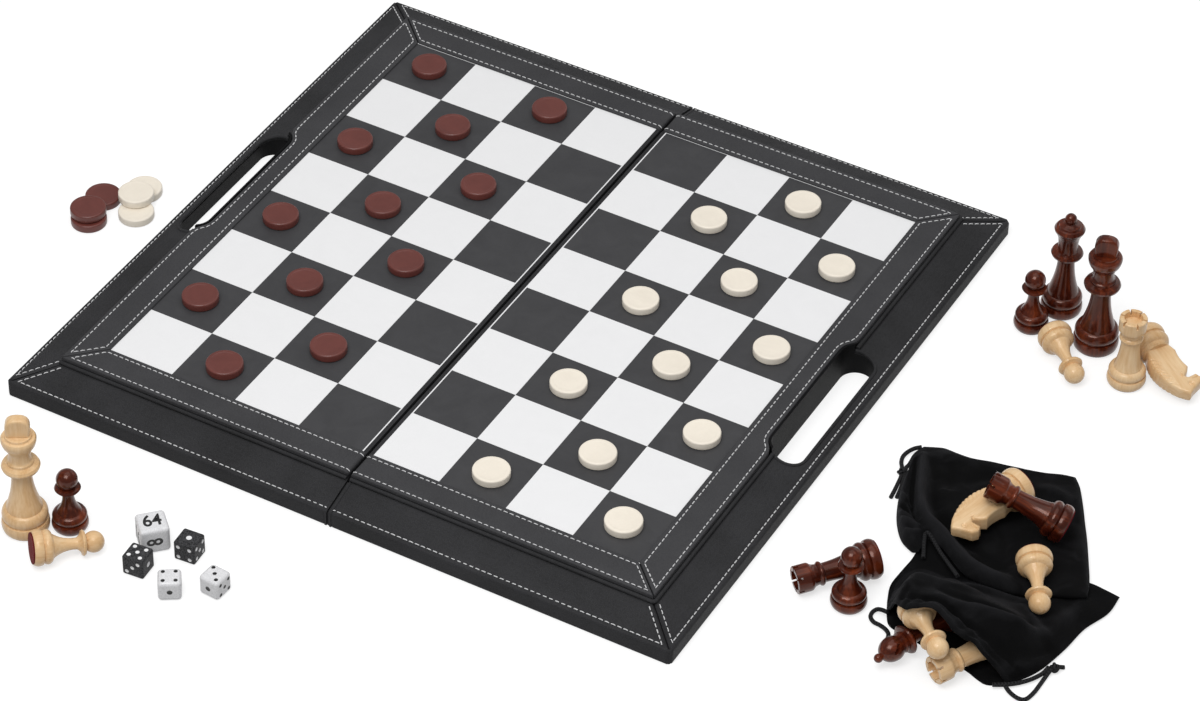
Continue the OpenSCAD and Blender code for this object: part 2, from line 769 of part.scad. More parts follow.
UPPER_BAG = [[39.7, 9], [107.7, 25], [144.7, -38], [68.7, -55]];
module upper_bag() {
    color(velvet) translate([out_x, 0, 0]) pillow(UPPER_BAG);
}

// The open bag: the middle of its mouth, the way in, and its arch as [shift, half width, height]
// at the mouth and at the far end of the hollow
MOUTH_AT = [109.7, -119.5];
MOUTH_AZ = 78;
MOUTH = [-3, 35, 35];
HOLLOW_END = [2, 35, 27];
hollow_l = 30;
BAG_HEEL = [[80.7, -75], [150.7, -89]];

// Upper half of a rounded arch: a superellipse, let out by grow
function arch(a, grow) = [for (i = [0:18]) let (t = i * 10, c = cos(t), s = sin(t), flat = 0.77)
    [a[0] + (a[1] + grow) * sign(c) * pow(abs(c), flat), (a[2] + grow) * pow(s, flat)]];

// A thin slice of the arch at distance t into the bag
module arch_slice(t, a, grow) {
    translate([MOUTH_AT[0], MOUTH_AT[1], 0]) rotate([0, 0, MOUTH_AZ - 90]) translate([0, t + 0.5, 0])
        rotate([90, 0, 0]) linear_extrude(0.5) polygon(arch(a, grow));
}

LOWER_BAG = [[78.7, -72], [163.7, -49], [155.7, -100], [149.7, -108]];
module lower_bag() {
    color(velvet) translate([out_x, 0, 0]) difference() {
        union() {
            pillow(LOWER_BAG);
            hull() {
                arch_slice(0, MOUTH, velvet_t);
                arch_slice(hollow_l, HOLLOW_END, velvet_t);
                for (c = BAG_HEEL) translate([c[0], c[1], 0]) cylinder(h = bag_t - 1, r = 2, $fn = 16);
            }
        }
        translate([0, 0, velvet_t]) hull() {
            arch_slice(-1, MOUTH, -velvet_t / 2);
            arch_slice(hollow_l - velvet_t, HOLLOW_END, -velvet_t / 2);
        }
    }
}

// A point on the smooth curve through p at place i + t
function smooth_point(p, i, t) =
    let (n = len(p), a = p[max(i - 1, 0)], b = p[i], c = p[min(i + 1, n - 1)], d = p[min(i + 2, n - 1)])
    0.5 * (2 * b + (c - a) * t + (2 * a - 5 * b + 4 * c - d) * t * t + (3 * b - a - 3 * c + d) * t * t * t);

function smooth_route(p, steps) =
    concat([for (i = [0:len(p) - 2], k = [0:steps - 1]) smooth_point(p, i, k / steps)], [p[len(p) - 1]]);

function unit(v) = v / norm(v);

// A tube of diameter d along a route that is never upright
module tube(route, d) {
    sides = 8;
    n = len(route);
    points = [for (i = [0:n - 1]) let (
            along = unit(route[min(i + 1, n - 1)] - route[max(i - 1, 0)]),
            across = unit(cross(along, [0, 0, 1])), up = cross(across, along))
        for (k = [0:sides - 1]) let (a = (k + 0.5) * 360 / sides)
            route[i] + d / 2 * (cos(a) * across + sin(a) * up)];
    walls = [for (i = [0:n - 2], k = [0:sides - 1]) let (
            a = i * sides + k, b = i * sides + (k + 1) % sides)
        each [[a, b, b + sides], [a, b + sides, a + sides]]];
    ends = [for (k = [1:sides - 2]) each [[0, k + 1, k], [(n - 1) * sides, (n - 1) * sides + k, (n - 1) * sides + k + 1]]];
    polyhedron(points, concat(walls, ends));
}

// Routes of the drawstrings' free ends, from the bag outwards
UPPER_CORD = [
    [34.9, 10, 3.4], [31.2, 8.5, 2], [29.2, 4.5, 1.3], [29.5, -0.5, 1.3], [32.2, -4.5, 1.3],
    [34.2, -9, 1.3], [35.2, -14, 1.3], [37.3, -23, 1.3], [40.3, -29.5, 1.3]
];
LEFT_CORD = [
    [72.3, -101, 3], [68.3, -103.2, 1.8], [65, -106.2, 1.3], [64.2, -110.8, 1.3], [66.2, -115.4, 1.3],
    [70.4, -118.2, 1.3], [74.8, -118.2, 1.3], [77.7, -116, 1.3]
];
RIGHT_CORD = [
    [145.1, -120.6, 3], [151.1, -124.2, 1.8], [155.7, -125.8, 1.3], [158.9, -122, 1.3], [159.5, -115, 1.3],
    [160.2, -108, 1.3], [161.4, -103, 1.3], [163.5, -98.5, 1.3]
];

// Where the drawstrings are knotted
UPPER_KNOT = [[40.3, -29.5]];
RIGHT_KNOT = [[163.5, -99]];

module cord(route, knots) {
    color(velvet) translate([out_x, 0, 0]) {
        tube(smooth_route(route, 3), cord_d);
        for (k = knots) translate([k[0], k[1], knot_d / 2]) sphere(d = knot_d, $fn = 24);
    }
}

mirror([1, 0, 0]) fold_rail();  // left_fold_rail
mirror([1, 0, 0]) side_rail();  // left_side_rail
mirror([1, 0, 0]) end_rail(1);  // left_far_rail
mirror([1, 0, 0]) end_rail(-1);  // left_near_rail
mirror([1, 0, 0]) board_panel();  // left_board_panel
mirror([1, 0, 0]) chess_field();  // left_chess_field
mirror([1, 0, 0]) light_squares(1);  // left_light_squares
mirror([1, 0, 0]) backgammon_sheet();  // left_backgammon_sheet
mirror([1, 0, 0]) backgammon_points();  // left_backgammon_points
mirror([1, 0, 0]) end_strip(1);  // left_far_strip
mirror([1, 0, 0]) side_strip();  // left_side_strip
mirror([1, 0, 0]) end_strip(-1);  // left_near_strip
mirror([1, 0, 0]) end_skirt(1);  // left_far_skirt
mirror([1, 0, 0]) side_skirt();  // left_side_skirt
mirror([1, 0, 0]) end_skirt(-1);  // left_near_skirt
mirror([1, 0, 0]) spine_cover();  // left_spine_cover
mirror([1, 0, 0]) slot_lining();  // left_slot_lining
mirror([1, 0, 0]) magnets();  // left_magnets
mirror([1, 0, 0]) hinge_flap(hinge_gap / 2 - fold_x);  // left_hinge_flap
fold_rail();  // right_fold_rail
side_rail();  // right_side_rail
end_rail(1);  // right_far_rail
end_rail(-1);  // right_near_rail
board_panel();  // right_board_panel
chess_field();  // right_chess_field
light_squares(0);  // right_light_squares
backgammon_sheet();  // right_backgammon_sheet
backgammon_points();  // right_backgammon_points
end_strip(1);  // right_far_strip
side_strip();  // right_side_strip
end_strip(-1);  // right_near_strip
end_skirt(1);  // right_far_skirt
side_skirt();  // right_side_skirt
end_skirt(-1);  // right_near_skirt
spine_cover();  // right_spine_cover
slot_lining();  // right_slot_lining
magnets();  // right_magnets
hinge_flap(fold_x + hinge_gap / 2);  // right_hinge_flap
color(red_brown) men_on_field(BROWN_AT);  // brown_men
color(cream) men_on_field(CREAM_AT);  // cream_men
color(red_brown) spare_men(SPARE_BROWN);  // spare_brown_men
color(cream) spare_men(SPARE_CREAM);  // spare_cream_men
white_dice();
black_dice();
doubling_cube();
color(boxwood) each_at(NATURAL_KING) king();  // natural_king
color(boxwood) each_at(NATURAL_ROOKS) rook();  // natural_rooks
color(boxwood) each_at(NATURAL_KNIGHTS) knight();  // natural_knights
color(boxwood) each_at(NATURAL_PAWNS) pawn();  // natural_pawns
color(dark_wood) each_at(DARK_KING) king();  // dark_king
color(dark_wood) each_at(DARK_QUEEN) queen();  // dark_queen
color(dark_wood) each_at(DARK_BISHOP) bishop();  // dark_bishop
color(dark_wood) each_at(DARK_ROOKS) rook();  // dark_rooks
color(dark_wood) each_at(DARK_PAWNS) pawn();  // dark_pawns
base_felts();
upper_bag();
lower_bag();
cord(UPPER_CORD, UPPER_KNOT);  // upper_bag_cord
cord(LEFT_CORD, []);  // lower_bag_left_cord
cord(RIGHT_CORD, RIGHT_KNOT);  // lower_bag_right_cord
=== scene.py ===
import math

import bmesh
import bpy
import numpy as np
from mathutils import Matrix, Vector


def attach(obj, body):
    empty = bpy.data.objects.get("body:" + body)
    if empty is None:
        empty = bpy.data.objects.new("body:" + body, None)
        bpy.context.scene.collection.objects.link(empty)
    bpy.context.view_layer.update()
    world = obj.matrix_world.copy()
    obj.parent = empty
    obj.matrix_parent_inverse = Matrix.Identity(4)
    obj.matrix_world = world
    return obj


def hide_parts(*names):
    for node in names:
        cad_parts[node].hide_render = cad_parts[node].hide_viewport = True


bl_info = {
    "name": "Games compendium",
    "version": (1, 0, 0),
    "blender": (4, 5, 0),
    "location": "3D View > Sidebar > Games",
    "description": "Dresses the folding games case, its men, dice, chess pieces and bags",
    "category": "Object",
}

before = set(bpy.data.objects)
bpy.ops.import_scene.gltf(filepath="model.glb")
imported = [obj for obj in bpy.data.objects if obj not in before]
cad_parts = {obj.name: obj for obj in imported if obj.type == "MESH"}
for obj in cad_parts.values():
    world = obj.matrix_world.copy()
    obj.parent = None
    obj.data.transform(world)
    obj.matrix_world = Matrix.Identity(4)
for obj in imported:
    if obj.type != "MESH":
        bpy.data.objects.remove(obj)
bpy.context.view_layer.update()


# ---- sizes of the case, in millimetres, as the part's source has them ----
SQUARE = 38.1
FIELD_X0, FIELD_X, FIELD_Y = 2.9, 155.3, 152.4
STRIP_W, SKIRT_W = 17.0, 21.0
STEP_X, STEP_Y = FIELD_X + STRIP_W, FIELD_Y + STRIP_W
OUT_X, OUT_Y = STEP_X + SKIRT_W, STEP_Y + SKIRT_W
FOLD_X = 0.75
BOARD_TOP, FIELD_Z, STRIP_TOP = 17.2, 18.0, 19.2
SHOULDER_Z, RIM_Z = 15.0, 9.0
COVER_T = 1.2
SLOT_X, SLOT_W, SLOT_L = 177.5, 18.0, 94.0
FELT_T = 0.6
HALVES = (("right", 1), ("left", -1))

# ---- sizes of the leatherette that the source doesn't have ----
MITRE_GAP = 0.35  # half the gap between two covers at a mitre
LAP_X, LAP_Y = 0.75, 0.45  # how far a strip laps over the printed field
RIM_R, CORNER_R = 2.0, 1.6  # roundings of the rim, and of the corner seen from above
FOLD_ROLL, SKIRT_ROLL = 2.2, 0.9  # rounding where a cover turns into the fold, and at a skirt's edges
COVER_IN = 1.0  # thickness of a skirt's shell
STRIP_STITCH_IN, SKIRT_STITCH_IN = 2.0, 2.6  # sewn lines' distance from the edge
ROW_START = 2.3  # distance from the step at which a skirt's sewn line starts
STEP_OUT, STEP_Z, STEP_R = 0.75, 15.75, 1.15  # the rolled step under the border
RING_R = 0.9  # the roll round a hand slot
WEB_R = 0.68  # the folded web in the gap
# Places of a strip's rows of points, as shares of its width
ACROSS = (0, 0.015, 0.035, 0.06, 0.085, 0.118, 0.15, 0.19, 0.27, 0.4, 0.5, 0.6, 0.73, 0.81, 0.85, 0.882,
          0.915, 0.94, 0.965, 0.985, 1)


# ---- numpy helpers ----


def seg(a, b, step):
    """Points on a straight line from a to b, no further apart than step."""
    a, b = np.asarray(a, float), np.asarray(b, float)
    n = max(1, int(math.ceil(np.linalg.norm(b - a) / step)))
    return a + (b - a) * np.linspace(0, 1, n + 1)[:, None]


def polyline(points, step):
    """Straight runs through the points, no two neighbours further apart than step."""
    runs = [seg(points[i], points[i + 1], step)[:-1] for i in range(len(points) - 1)]
    return np.vstack(runs + [np.asarray(points[-1:], float)])


def arc_length(p):
    """Distance from the first point to each point, along the line."""
    return np.concatenate([[0], np.cumsum(np.linalg.norm(np.diff(p, axis=0), axis=1))])


def at_length(p, t):
    """Points of the line p at the distances t from its start."""
    s = arc_length(p)
    return np.stack([np.interp(t, s, p[:, k]) for k in range(p.shape[1])], 1)


def resample(p, n):
    """n points spread evenly along the line p."""
    return at_length(p, np.linspace(0, arc_length(p)[-1], n))


def line_distance(points, line):
    """Distance of each point to the nearest place on the line, and that place's distance along the line."""
    flat = points.reshape(-1, 2)
    a, b = line[:-1], line[1:]
    d = b - a
    size = np.maximum((d * d).sum(1), 1e-12)
    t = np.clip(((flat[:, None] - a) * d).sum(2) / size, 0, 1)
    gap = np.linalg.norm(a + t[..., None] * d - flat[:, None], axis=2)
    k = gap.argmin(1)
    rows = np.arange(len(flat))
    along = arc_length(line)[k] + t[rows, k] * np.sqrt(size[k])
    return gap[rows, k].reshape(points.shape[:-1]), along.reshape(points.shape[:-1])


def smoothstep(x, a, b):
    """0 below a, 1 above b, a smooth rise between."""
    t = np.clip((x - a) / (b - a), 0, 1)
    return t * t * (3 - 2 * t)


def wave_noise(x, y, z, scale, seed):
    """A smooth random-looking height: the sum of twelve sine waves of random, seeded directions,
    lengths and starts."""
    rng = np.random.default_rng(seed)
    total = np.zeros_like(x)
    for _ in range(12):
        d = rng.normal(size=3)
        d /= np.linalg.norm(d)
        f = rng.uniform(0.5, 2.0) * 2 * math.pi / scale
        total = total + np.sin((d[0] * x + d[1] * y + d[2] * z) * f + rng.uniform(0, 6.28)) / math.sqrt(12)
    return total


# ---- meshes ----


def quads(nu, nv, first, close_v):
    """Corner numbers of the faces of a grid of nu by nv points that starts at number first."""
    u = np.arange(nu - 1)[:, None]
    v = np.arange(nv if close_v else nv - 1)[None]
    w = (v + 1) % nv
    f = np.stack([u * nv + v, u * nv + w, (u + 1) * nv + w, (u + 1) * nv + v], -1)
    return f.reshape(-1, 4) + first


def shown(name, data):
    """A new object in the scene."""
    obj = bpy.data.objects.new(name, data)
    bpy.context.scene.collection.objects.link(obj)
    return obj


class Sheets:
    """Gathers grids of points, in millimetres, and makes them one closed, smooth mesh in metres."""

    def __init__(self):
        self.points, self.faces, self.uvs, self.marks, self.count = [], [], [], {}, 0

    def add(self, p, close_v=False, uv=None, **marks):
        """Adds the grid p of shape (nu, nv, 3). marks are numbers or vectors for each point."""
        nu, nv = p.shape[:2]
        f = quads(nu, nv, self.count, close_v)
        self.points.append(p.reshape(-1, 3))
        self.faces.append(f)
        if uv is None:
            uv = np.stack(np.meshgrid(np.linspace(0, 1, nu), np.linspace(0, 1, nv), indexing="ij"), -1)
        self.uvs.append(uv.reshape(-1, 2)[f - self.count].reshape(-1, 2))
        for name, value in marks.items():
            self.marks.setdefault(name, []).append(np.asarray(value, float).reshape(nu * nv, -1))
        self.count += nu * nv

    def make(self, name, sharp, merge=0.0002):
        """The finished object: points closer than merge joined, faces turned outwards, and shaded
        smooth but at edges sharper than the angle sharp."""
        mesh = bpy.data.meshes.new(name)
        co = np.vstack(self.points) * 0.001
        faces = np.vstack(self.faces)
        mesh.from_pydata(co.tolist(), [], faces.tolist())
        layer = mesh.uv_layers.new(name="UVMap")
        layer.data.foreach_set("uv", np.vstack(self.uvs).astype(np.float32).ravel())
        for mark, values in self.marks.items():
            values = np.vstack(values).astype(np.float32)
            kind, field = ("FLOAT_VECTOR", "vector") if values.shape[1] == 3 else ("FLOAT", "value")
            mesh.attributes.new(mark, kind, "POINT").data.foreach_set(field, values.ravel())
        bm = bmesh.new()
        bm.from_mesh(mesh)
        bmesh.ops.remove_doubles(bm, verts=bm.verts, dist=merge * 0.001)
        bmesh.ops.recalc_face_normals(bm, faces=bm.faces)
        bm.to_mesh(mesh)
        bm.free()
        mesh.shade_smooth()
        mesh.set_sharp_from_angle(angle=math.radians(sharp))
        return shown(name, mesh)


def tube_grid(path, radius, sides):
    """A round tube: at each point of the path a circle of the given radius, square to the path and
    level with the ground across it. Both ends are closed by a disc."""
    p = np.asarray(path, float)
    t = np.gradient(p, axis=0)
    t /= np.linalg.norm(t, axis=1)[:, None]
    ref = np.array([0.0, 0.0, 1.0]) if abs(t[0, 2]) < 0.8 else np.array([1.0, 0.0, 0.0])
    side = np.cross(t, ref)
    side /= np.linalg.norm(side, axis=1)[:, None]
    up = np.cross(side, t)
    a = even_turns(sides)
    ring = np.cos(a)[None, :, None] * side[:, None] + np.sin(a)[None, :, None] * up[:, None]
    grid = p[:, None] + radius * ring
    return np.concatenate([np.repeat(p[:1, None], sides, 1), grid, np.repeat(p[-1:, None], sides, 1)])


def even_turns(n):
    """n angles spread evenly round a full turn, in radians."""
    return np.linspace(0, 2 * math.pi, n, endpoint=False)


def revolve_grid(line, turns):
    """The outline [radius, height] turned about the upright axis, at the given angles in radians."""
    r, z = line[:, 0][:, None], line[:, 1][:, None]
    return np.stack([r * np.cos(turns), r * np.sin(turns), z + 0 * turns], -1)


def placed(points, place):
    """Moves points as the part's source does: roll about the piece's axis, tip it, turn it, shift it."""
    x, y, z, az, pitch, roll = place
    m = (Matrix.Rotation(math.radians(az), 3, "Z") @ Matrix.Rotation(math.radians(90 - pitch), 3, "Y")
         @ Matrix.Rotation(math.radians(roll), 3, "Z"))
    return points @ np.array(m).T + np.array([x, y, z])


# ---- shader groups and materials ----


def colour(hex_text):
    """A written colour such as #2b2b2d as linear red, green, blue and full alpha."""
    v = [int(hex_text[i:i + 2], 16) / 255 for i in (1, 3, 5)]
    return tuple([c / 12.92 if c < 0.04045 else ((c + 0.055) / 1.055) ** 2.4 for c in v] + [1.0])


def plug(tree, socket, value):
    """Gives an input socket a link from another socket, a written colour or a plain value."""
    if isinstance(value, bpy.types.NodeSocket):
        tree.links.new(value, socket)
    else:
        socket.default_value = colour(value) if isinstance(value, str) else value


def put(tree, kind, **settings):
    """A new node. Settings whose names start with i_ are for its input sockets."""
    n = tree.nodes.new("ShaderNode" + kind)
    for key, value in settings.items():
        if key.startswith("i_"):
            plug(tree, n.inputs[key[2:].replace("_", " ")], value)
        else:
            setattr(n, key, value)
    return n


def math_node(tree, operation, *values):
    """The result of a Math node on its values or links."""
    n = put(tree, "Math", operation=operation)
    for socket, value in zip(n.inputs, values):
        plug(tree, socket, value)
    return n.outputs[0]


def weighed(tree, a, share_a, b, share_b):
    """a and b added, each times its share."""
    return math_node(tree, "ADD", math_node(tree, "MULTIPLY", a, share_a),
                     math_node(tree, "MULTIPLY", b, share_b))


def noise(tree, vector, scale, detail, rough, warp=0.0):
    """The value of a noise texture."""
    return put(tree, "TexNoise", i_Vector=vector, i_Scale=scale, i_Detail=detail, i_Roughness=rough,
               i_Distortion=warp).outputs["Fac"]


def node_group(name, values, results):
    """An empty shader group that takes a Vector and the named values and gives the named results."""
    g = bpy.data.node_groups.new(name, "ShaderNodeTree")
    for label in ("Vector",) + values:
        kind = "NodeSocketVector" if label == "Vector" else "NodeSocketFloat"
        g.interface.new_socket(name=label, in_out="INPUT", socket_type=kind)
    for label in results:
        g.interface.new_socket(name=label, in_out="OUTPUT", socket_type="NodeSocketFloat")
    return g, g.nodes.new("NodeGroupInput").outputs, g.nodes.new("NodeGroupOutput").inputs


def grain_group():
    """Leatherette: a net of small pores and creases, with a slow change of tone."""
    g, a, b = node_group("Leatherette grain", ("Cells",), ("Height", "Tone"))
    cells = put(g, "TexVoronoi", feature="DISTANCE_TO_EDGE", i_Vector=a["Vector"], i_Scale=a["Cells"],
                i_Randomness=0.9)
    fine = noise(g, a["Vector"], math_node(g, "MULTIPLY", a["Cells"], 0.35), 3.0, 0.6)
    slow = noise(g, a["Vector"], 28.0, 4.0, 0.55)
    edge = math_node(g, "MINIMUM", math_node(g, "MULTIPLY", cells.outputs["Distance"], 4.0), 1.0)
    plug(g, b["Height"], weighed(g, edge, 0.6, fine, 0.8))
    plug(g, b["Tone"], weighed(g, slow, 0.7, edge, 0.3))
    return g


def wood_group():
    """Turned wood: fine streaks drawn out along the piece, wider soft bands, small pores and a slow
    change of tone. Its vector is in metres from the middle of the piece's foot, with Z along the piece."""
    g, a, b = node_group("Wood grain", ("Streaks", "Bands"), ("Figure", "Pores", "Cloud"))

    def drawn_out(scale, length, detail, rough, warp=0.0):
        """Noise drawn out along the piece; the smaller the length, the longer it is."""
        squeeze = put(g, "Mapping", i_Vector=a["Vector"], i_Scale=(1.0, 1.0, length))
        return noise(g, squeeze.outputs["Vector"], scale, detail, rough, warp)

    streaks = drawn_out(a["Streaks"], 0.06, 3.0, 0.6)
    bands = drawn_out(a["Bands"], 0.16, 3.0, 0.55, 0.8)
    plug(g, b["Figure"], weighed(g, streaks, 0.45, bands, 0.55))
    plug(g, b["Pores"], drawn_out(2400.0, 0.2, 2.0, 0.7))
    plug(g, b["Cloud"], drawn_out(70.0, 0.6, 3.0, 0.5))
    return g


def fine_and_broad(name, size, fine, broad_name, broad):
    """A fine noise whose scale is the input called size, and a broad one of a set scale."""
    g, a, b = node_group(name, (size,), ("Height", broad_name))
    plug(g, b["Height"], noise(g, a["Vector"], a[size], *fine))
    plug(g, b[broad_name], noise(g, a["Vector"], *broad))
    return g


MATERIALS = {}


class Finish:
    """A material with its Principled shader, and the wiring that every finish here needs."""

    def __init__(self, name, **sockets):
        self.material = bpy.data.materials.new(name)
        self.material.use_nodes = True
        self.tree = self.material.node_tree
        self.shader = self.tree.nodes["Principled BSDF"]
        for key, value in sockets.items():
            self.feed(key.replace("_", " "), value)
        self.where = put(self.tree, "TexCoord").outputs["Object"]
        MATERIALS[name] = self.material

    def feed(self, key, value):
        """Gives one input of the shader a link, a written colour or a value."""
        plug(self.tree, self.shader.inputs[key], value)
        return self

    def attribute(self, name, output="Fac"):
        """A number or vector that the mesh carries at its points."""
        return put(self.tree, "Attribute", attribute_name=name).outputs[output]

    def group(self, tree, vector=None, **values):
        """The results of a group, at a place on the object unless a vector is given."""
        inputs = {"i_" + key: value for key, value in values.items()}
        return put(self.tree, "Group", node_tree=tree, i_Vector=vector or self.where, **inputs).outputs

    def ramp(self, fac, *stops):
        """A colour between the stops, each a place and a written colour."""
        n = put(self.tree, "ValToRGB", i_Fac=fac)
        e = n.color_ramp.elements
        while len(e) < len(stops):
            e.new(0.5)
        for item, (place, value) in zip(e, stops):
            item.position, item.color = place, colour(value)
        return n.outputs["Color"]

    def mix(self, fac, a, b):
        """Colours a and b mixed: a where fac is 0, b where it is 1."""
        n = put(self.tree, "Mix", data_type="RGBA")
        for socket, value in zip((n.inputs[0], n.inputs[6], n.inputs[7]), (fac, a, b)):
            plug(self.tree, socket, value)
        return n.outputs[2]

    def base(self, value):
        """The colour of the surface."""
        return self.feed("Base Color", value)

    def rough(self, fac, low, high):
        """The surface's roughness, from low where fac is 0 to high where it is 1."""
        n = put(self.tree, "MapRange", i_Value=fac, i_To_Min=low, i_To_Max=high)
        return self.feed("Roughness", n.outputs["Result"])

    def bump(self, height, distance, strength):
        """Small relief, distance metres high where height goes from 0 to 1."""
        n = put(self.tree, "Bump", i_Strength=strength, i_Distance=distance, i_Height=height)
        return self.feed("Normal", n.outputs["Normal"])


def make_materials():
    """Every finish of the object, by name in MATERIALS."""
    grain, wood = grain_group(), wood_group()
    # Moulded and printed surfaces: very fine roughness, and sparse faint scuffs
    scuffs = fine_and_broad("Fine scuffs", "Size", (3.0, 0.65), "Scuff", (70.0, 5.0, 0.7, 0.6))
    # Cloth: tiny tufts, and broad patches where the pile lies another way
    nap = fine_and_broad("Pile", "Tufts", (2.0, 0.8), "Patch", (55.0, 4.0, 0.6, 1.0))

    # The three leatherettes are one material in lit and shaded copies. The border's copy is painted lighter as
    # the light on the flat tops. The skirts' copy is painted darker as the shade on the slopes and walls; it
    # also covers the step rolls, spine, hinge flaps and fold web. The lining's copy is painted darker still as
    # the shade in the recesses: the slot walls, rails, board panel and backgammon sheet.
    for name, dark, light, cells, shine in (
            ("border_leatherette", "#38383a", "#454547", 1500.0, 0.15),
            ("skirt_leatherette_shaded", "#2b2b2c", "#3b3b3d", 1300.0, 0.05),
            ("lining_leatherette_shaded", "#0f0f10", "#161617", 1300.0, 0.06)):
        f = Finish(name, Specular_IOR_Level=shine)
        g = f.group(grain, Cells=cells)
        f.base(f.ramp(g["Tone"], (0.3, dark), (0.75, light)))
        f.rough(g["Tone"], 0.52, 0.44).bump(g["Height"], 0.00012, 0.55)

    for name, dark, light in (("black_print", "#3b3b3d", "#414143"), ("white_print", "#ebebec", "#ededee")):
        f = Finish(name, Specular_IOR_Level=0.3)
        g = f.group(scuffs, Size=1300.0)
        f.base(f.ramp(g["Scuff"], (0.35, dark), (0.65, light)))
        f.rough(g["Scuff"], 0.5, 0.38).bump(g["Height"], 0.00006, 0.5)

    for name, dark, light, rough, coat in (("brown_resin", "#5f2e28", "#6b362f", 0.4, 0.15),
                                           ("cream_resin", "#ece3d4", "#f4ebdc", 0.42, 0.12)):
        f = Finish(name, Coat_Weight=coat, Coat_Roughness=0.16, Specular_IOR_Level=0.45)
        g = f.group(scuffs, Size=500.0)
        f.base(f.ramp(g["Scuff"], (0.3, dark), (0.7, light)))
        f.rough(g["Scuff"], rough - 0.04, rough + 0.06).bump(g["Height"], 0.00005, 0.35)

    for name, dark, light, mark, rough, coat, shine in (
            ("white_die", "#d4d4d6", "#e6e6e8", "#0a0a0b", 0.34, 0.12, 0.35),
            ("black_die", "#1c1c1d", "#4a4a4c", "#e8e8e9", 0.5, 0.02, 0.12)):
        f = Finish(name, Coat_Weight=coat, Coat_Roughness=0.1, Specular_IOR_Level=shine)
        g = f.group(scuffs, Size=1600.0)
        in_pip = f.ramp(f.attribute("mark"), (0.42, "#000000"), (0.58, "#ffffff"))
        f.base(f.mix(in_pip, f.ramp(g["Height"], (0.4, dark), (0.6, light)), mark))
        f.rough(g["Scuff"], rough - 0.05, rough + 0.05).bump(g["Height"], 0.00003, 0.3)

    f = Finish("number_paint", Roughness=0.5)
    g = f.group(scuffs, Size=900.0)
    f.base(f.ramp(g["Scuff"], (0.3, "#111112"), (0.7, "#1b1b1c"))).bump(g["Height"], 0.00004, 0.3)

    f = Finish("stitch_thread", Specular_IOR_Level=0.3, Roughness=0.7)
    twist = put(f.tree, "TexWave", wave_type="BANDS", bands_direction="DIAGONAL", i_Scale=900.0,
                i_Vector=f.where).outputs["Fac"]
    f.base(f.ramp(twist, (0.2, "#b9b9ba"), (0.8, "#dededf"))).bump(twist, 0.0001, 0.6)

    for name, deep, mid, pale, streaks, bands, rough, coat, tint in (
            ("pale_wood", "#cb9c66", "#e2be90", "#eed2aa", 900.0, 260.0, 0.34, 0.35, "#ffe9cc"),
            ("dark_wood", "#1a0704", "#43160b", "#863c1e", 800.0, 200.0, 0.25, 0.4, "#f0a080")):
        f = Finish(name, Coat_Weight=coat, Coat_Roughness=0.14, Specular_IOR_Level=0.4, Specular_Tint=tint)
        g = f.group(wood, f.attribute("grain", "Vector"), Streaks=streaks, Bands=bands)
        figure, cloud = (f.ramp(g[key], (0.3, deep), (0.5, mid), (0.7, pale)) for key in ("Figure", "Cloud"))
        f.base(f.mix(0.4, figure, cloud)).rough(g["Pores"], rough, rough + 0.1).bump(g["Pores"], 0.00005, 0.2)

    f = Finish("red_felt", Roughness=0.9, Specular_IOR_Level=0.1, Sheen_Weight=0.3, Sheen_Roughness=0.35,
               Sheen_Tint="#c08080")
    g = f.group(nap, Tufts=1800.0)
    f.base(f.ramp(g["Patch"], (0.3, "#551417"), (0.7, "#6b1f22"))).bump(g["Height"], 0.0003, 0.7)

    f = Finish("black_velvet", Roughness=0.9, Specular_IOR_Level=0.1, Sheen_Weight=0.11, Sheen_Roughness=0.4,
               Sheen_Tint="#8a8a90")
    g = f.group(nap, Tufts=2600.0)
    # The velvet is painted paler on the folds' crests as highlight and darker in their valleys as shade,
    # through the crest attribute; the broad pile patches add a random tone.
    pile_patch_and_fold_shade = math_node(f.tree, "ADD", math_node(f.tree, "MULTIPLY", f.attribute("crest"), 0.5), g["Patch"])
    f.base(f.ramp(pile_patch_and_fold_shade, (0.0, "#030303"), (0.5, "#080809"), (1.0, "#202022"))).bump(g["Height"], 0.0004, 0.7)

    # Four strands run each way round the cord, and the upper one shows where two cross. The strands' tops are
    # painted paler as highlight and the gaps between them darker as shade; the same pattern gives their relief.
    f = Finish("drawstring_braid", Roughness=0.7, Specular_IOR_Level=0.25)
    split = put(f.tree, "SeparateXYZ", i_Vector=put(f.tree, "UVMap", uv_map="UVMap").outputs["UV"]).outputs
    turn = math_node(f.tree, "MULTIPLY", split["Y"], 4 * math.pi)
    run = math_node(f.tree, "MULTIPLY", split["X"], 12 * math.pi)
    strand_relief_and_highlight = math_node(f.tree, "MAXIMUM", *(math_node(f.tree, "SINE", math_node(f.tree, way, run, turn))
                                           for way in ("ADD", "SUBTRACT")))
    f.base(f.ramp(strand_relief_and_highlight, (0.0, "#070708"), (0.9, "#242426"))).bump(strand_relief_and_highlight, 0.0003, 0.8)

    f = Finish("magnet_steel", Metallic=1.0)
    g = f.group(scuffs, Size=1200.0)
    f.base(f.ramp(g["Scuff"], (0.3, "#9da0a4"), (0.7, "#bfc2c6")))
    f.rough(g["Height"], 0.22, 0.42).bump(g["Height"], 0.00004, 0.3)


def dress(obj, material, body=None):
    """Gives a piece its finish and the body it rides on."""
    obj.data.materials.clear()
    obj.data.materials.append(MATERIALS[material])
    if body:
        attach(obj, body)
    return obj


# ---- the case: border strips, skirts and step rolls ----


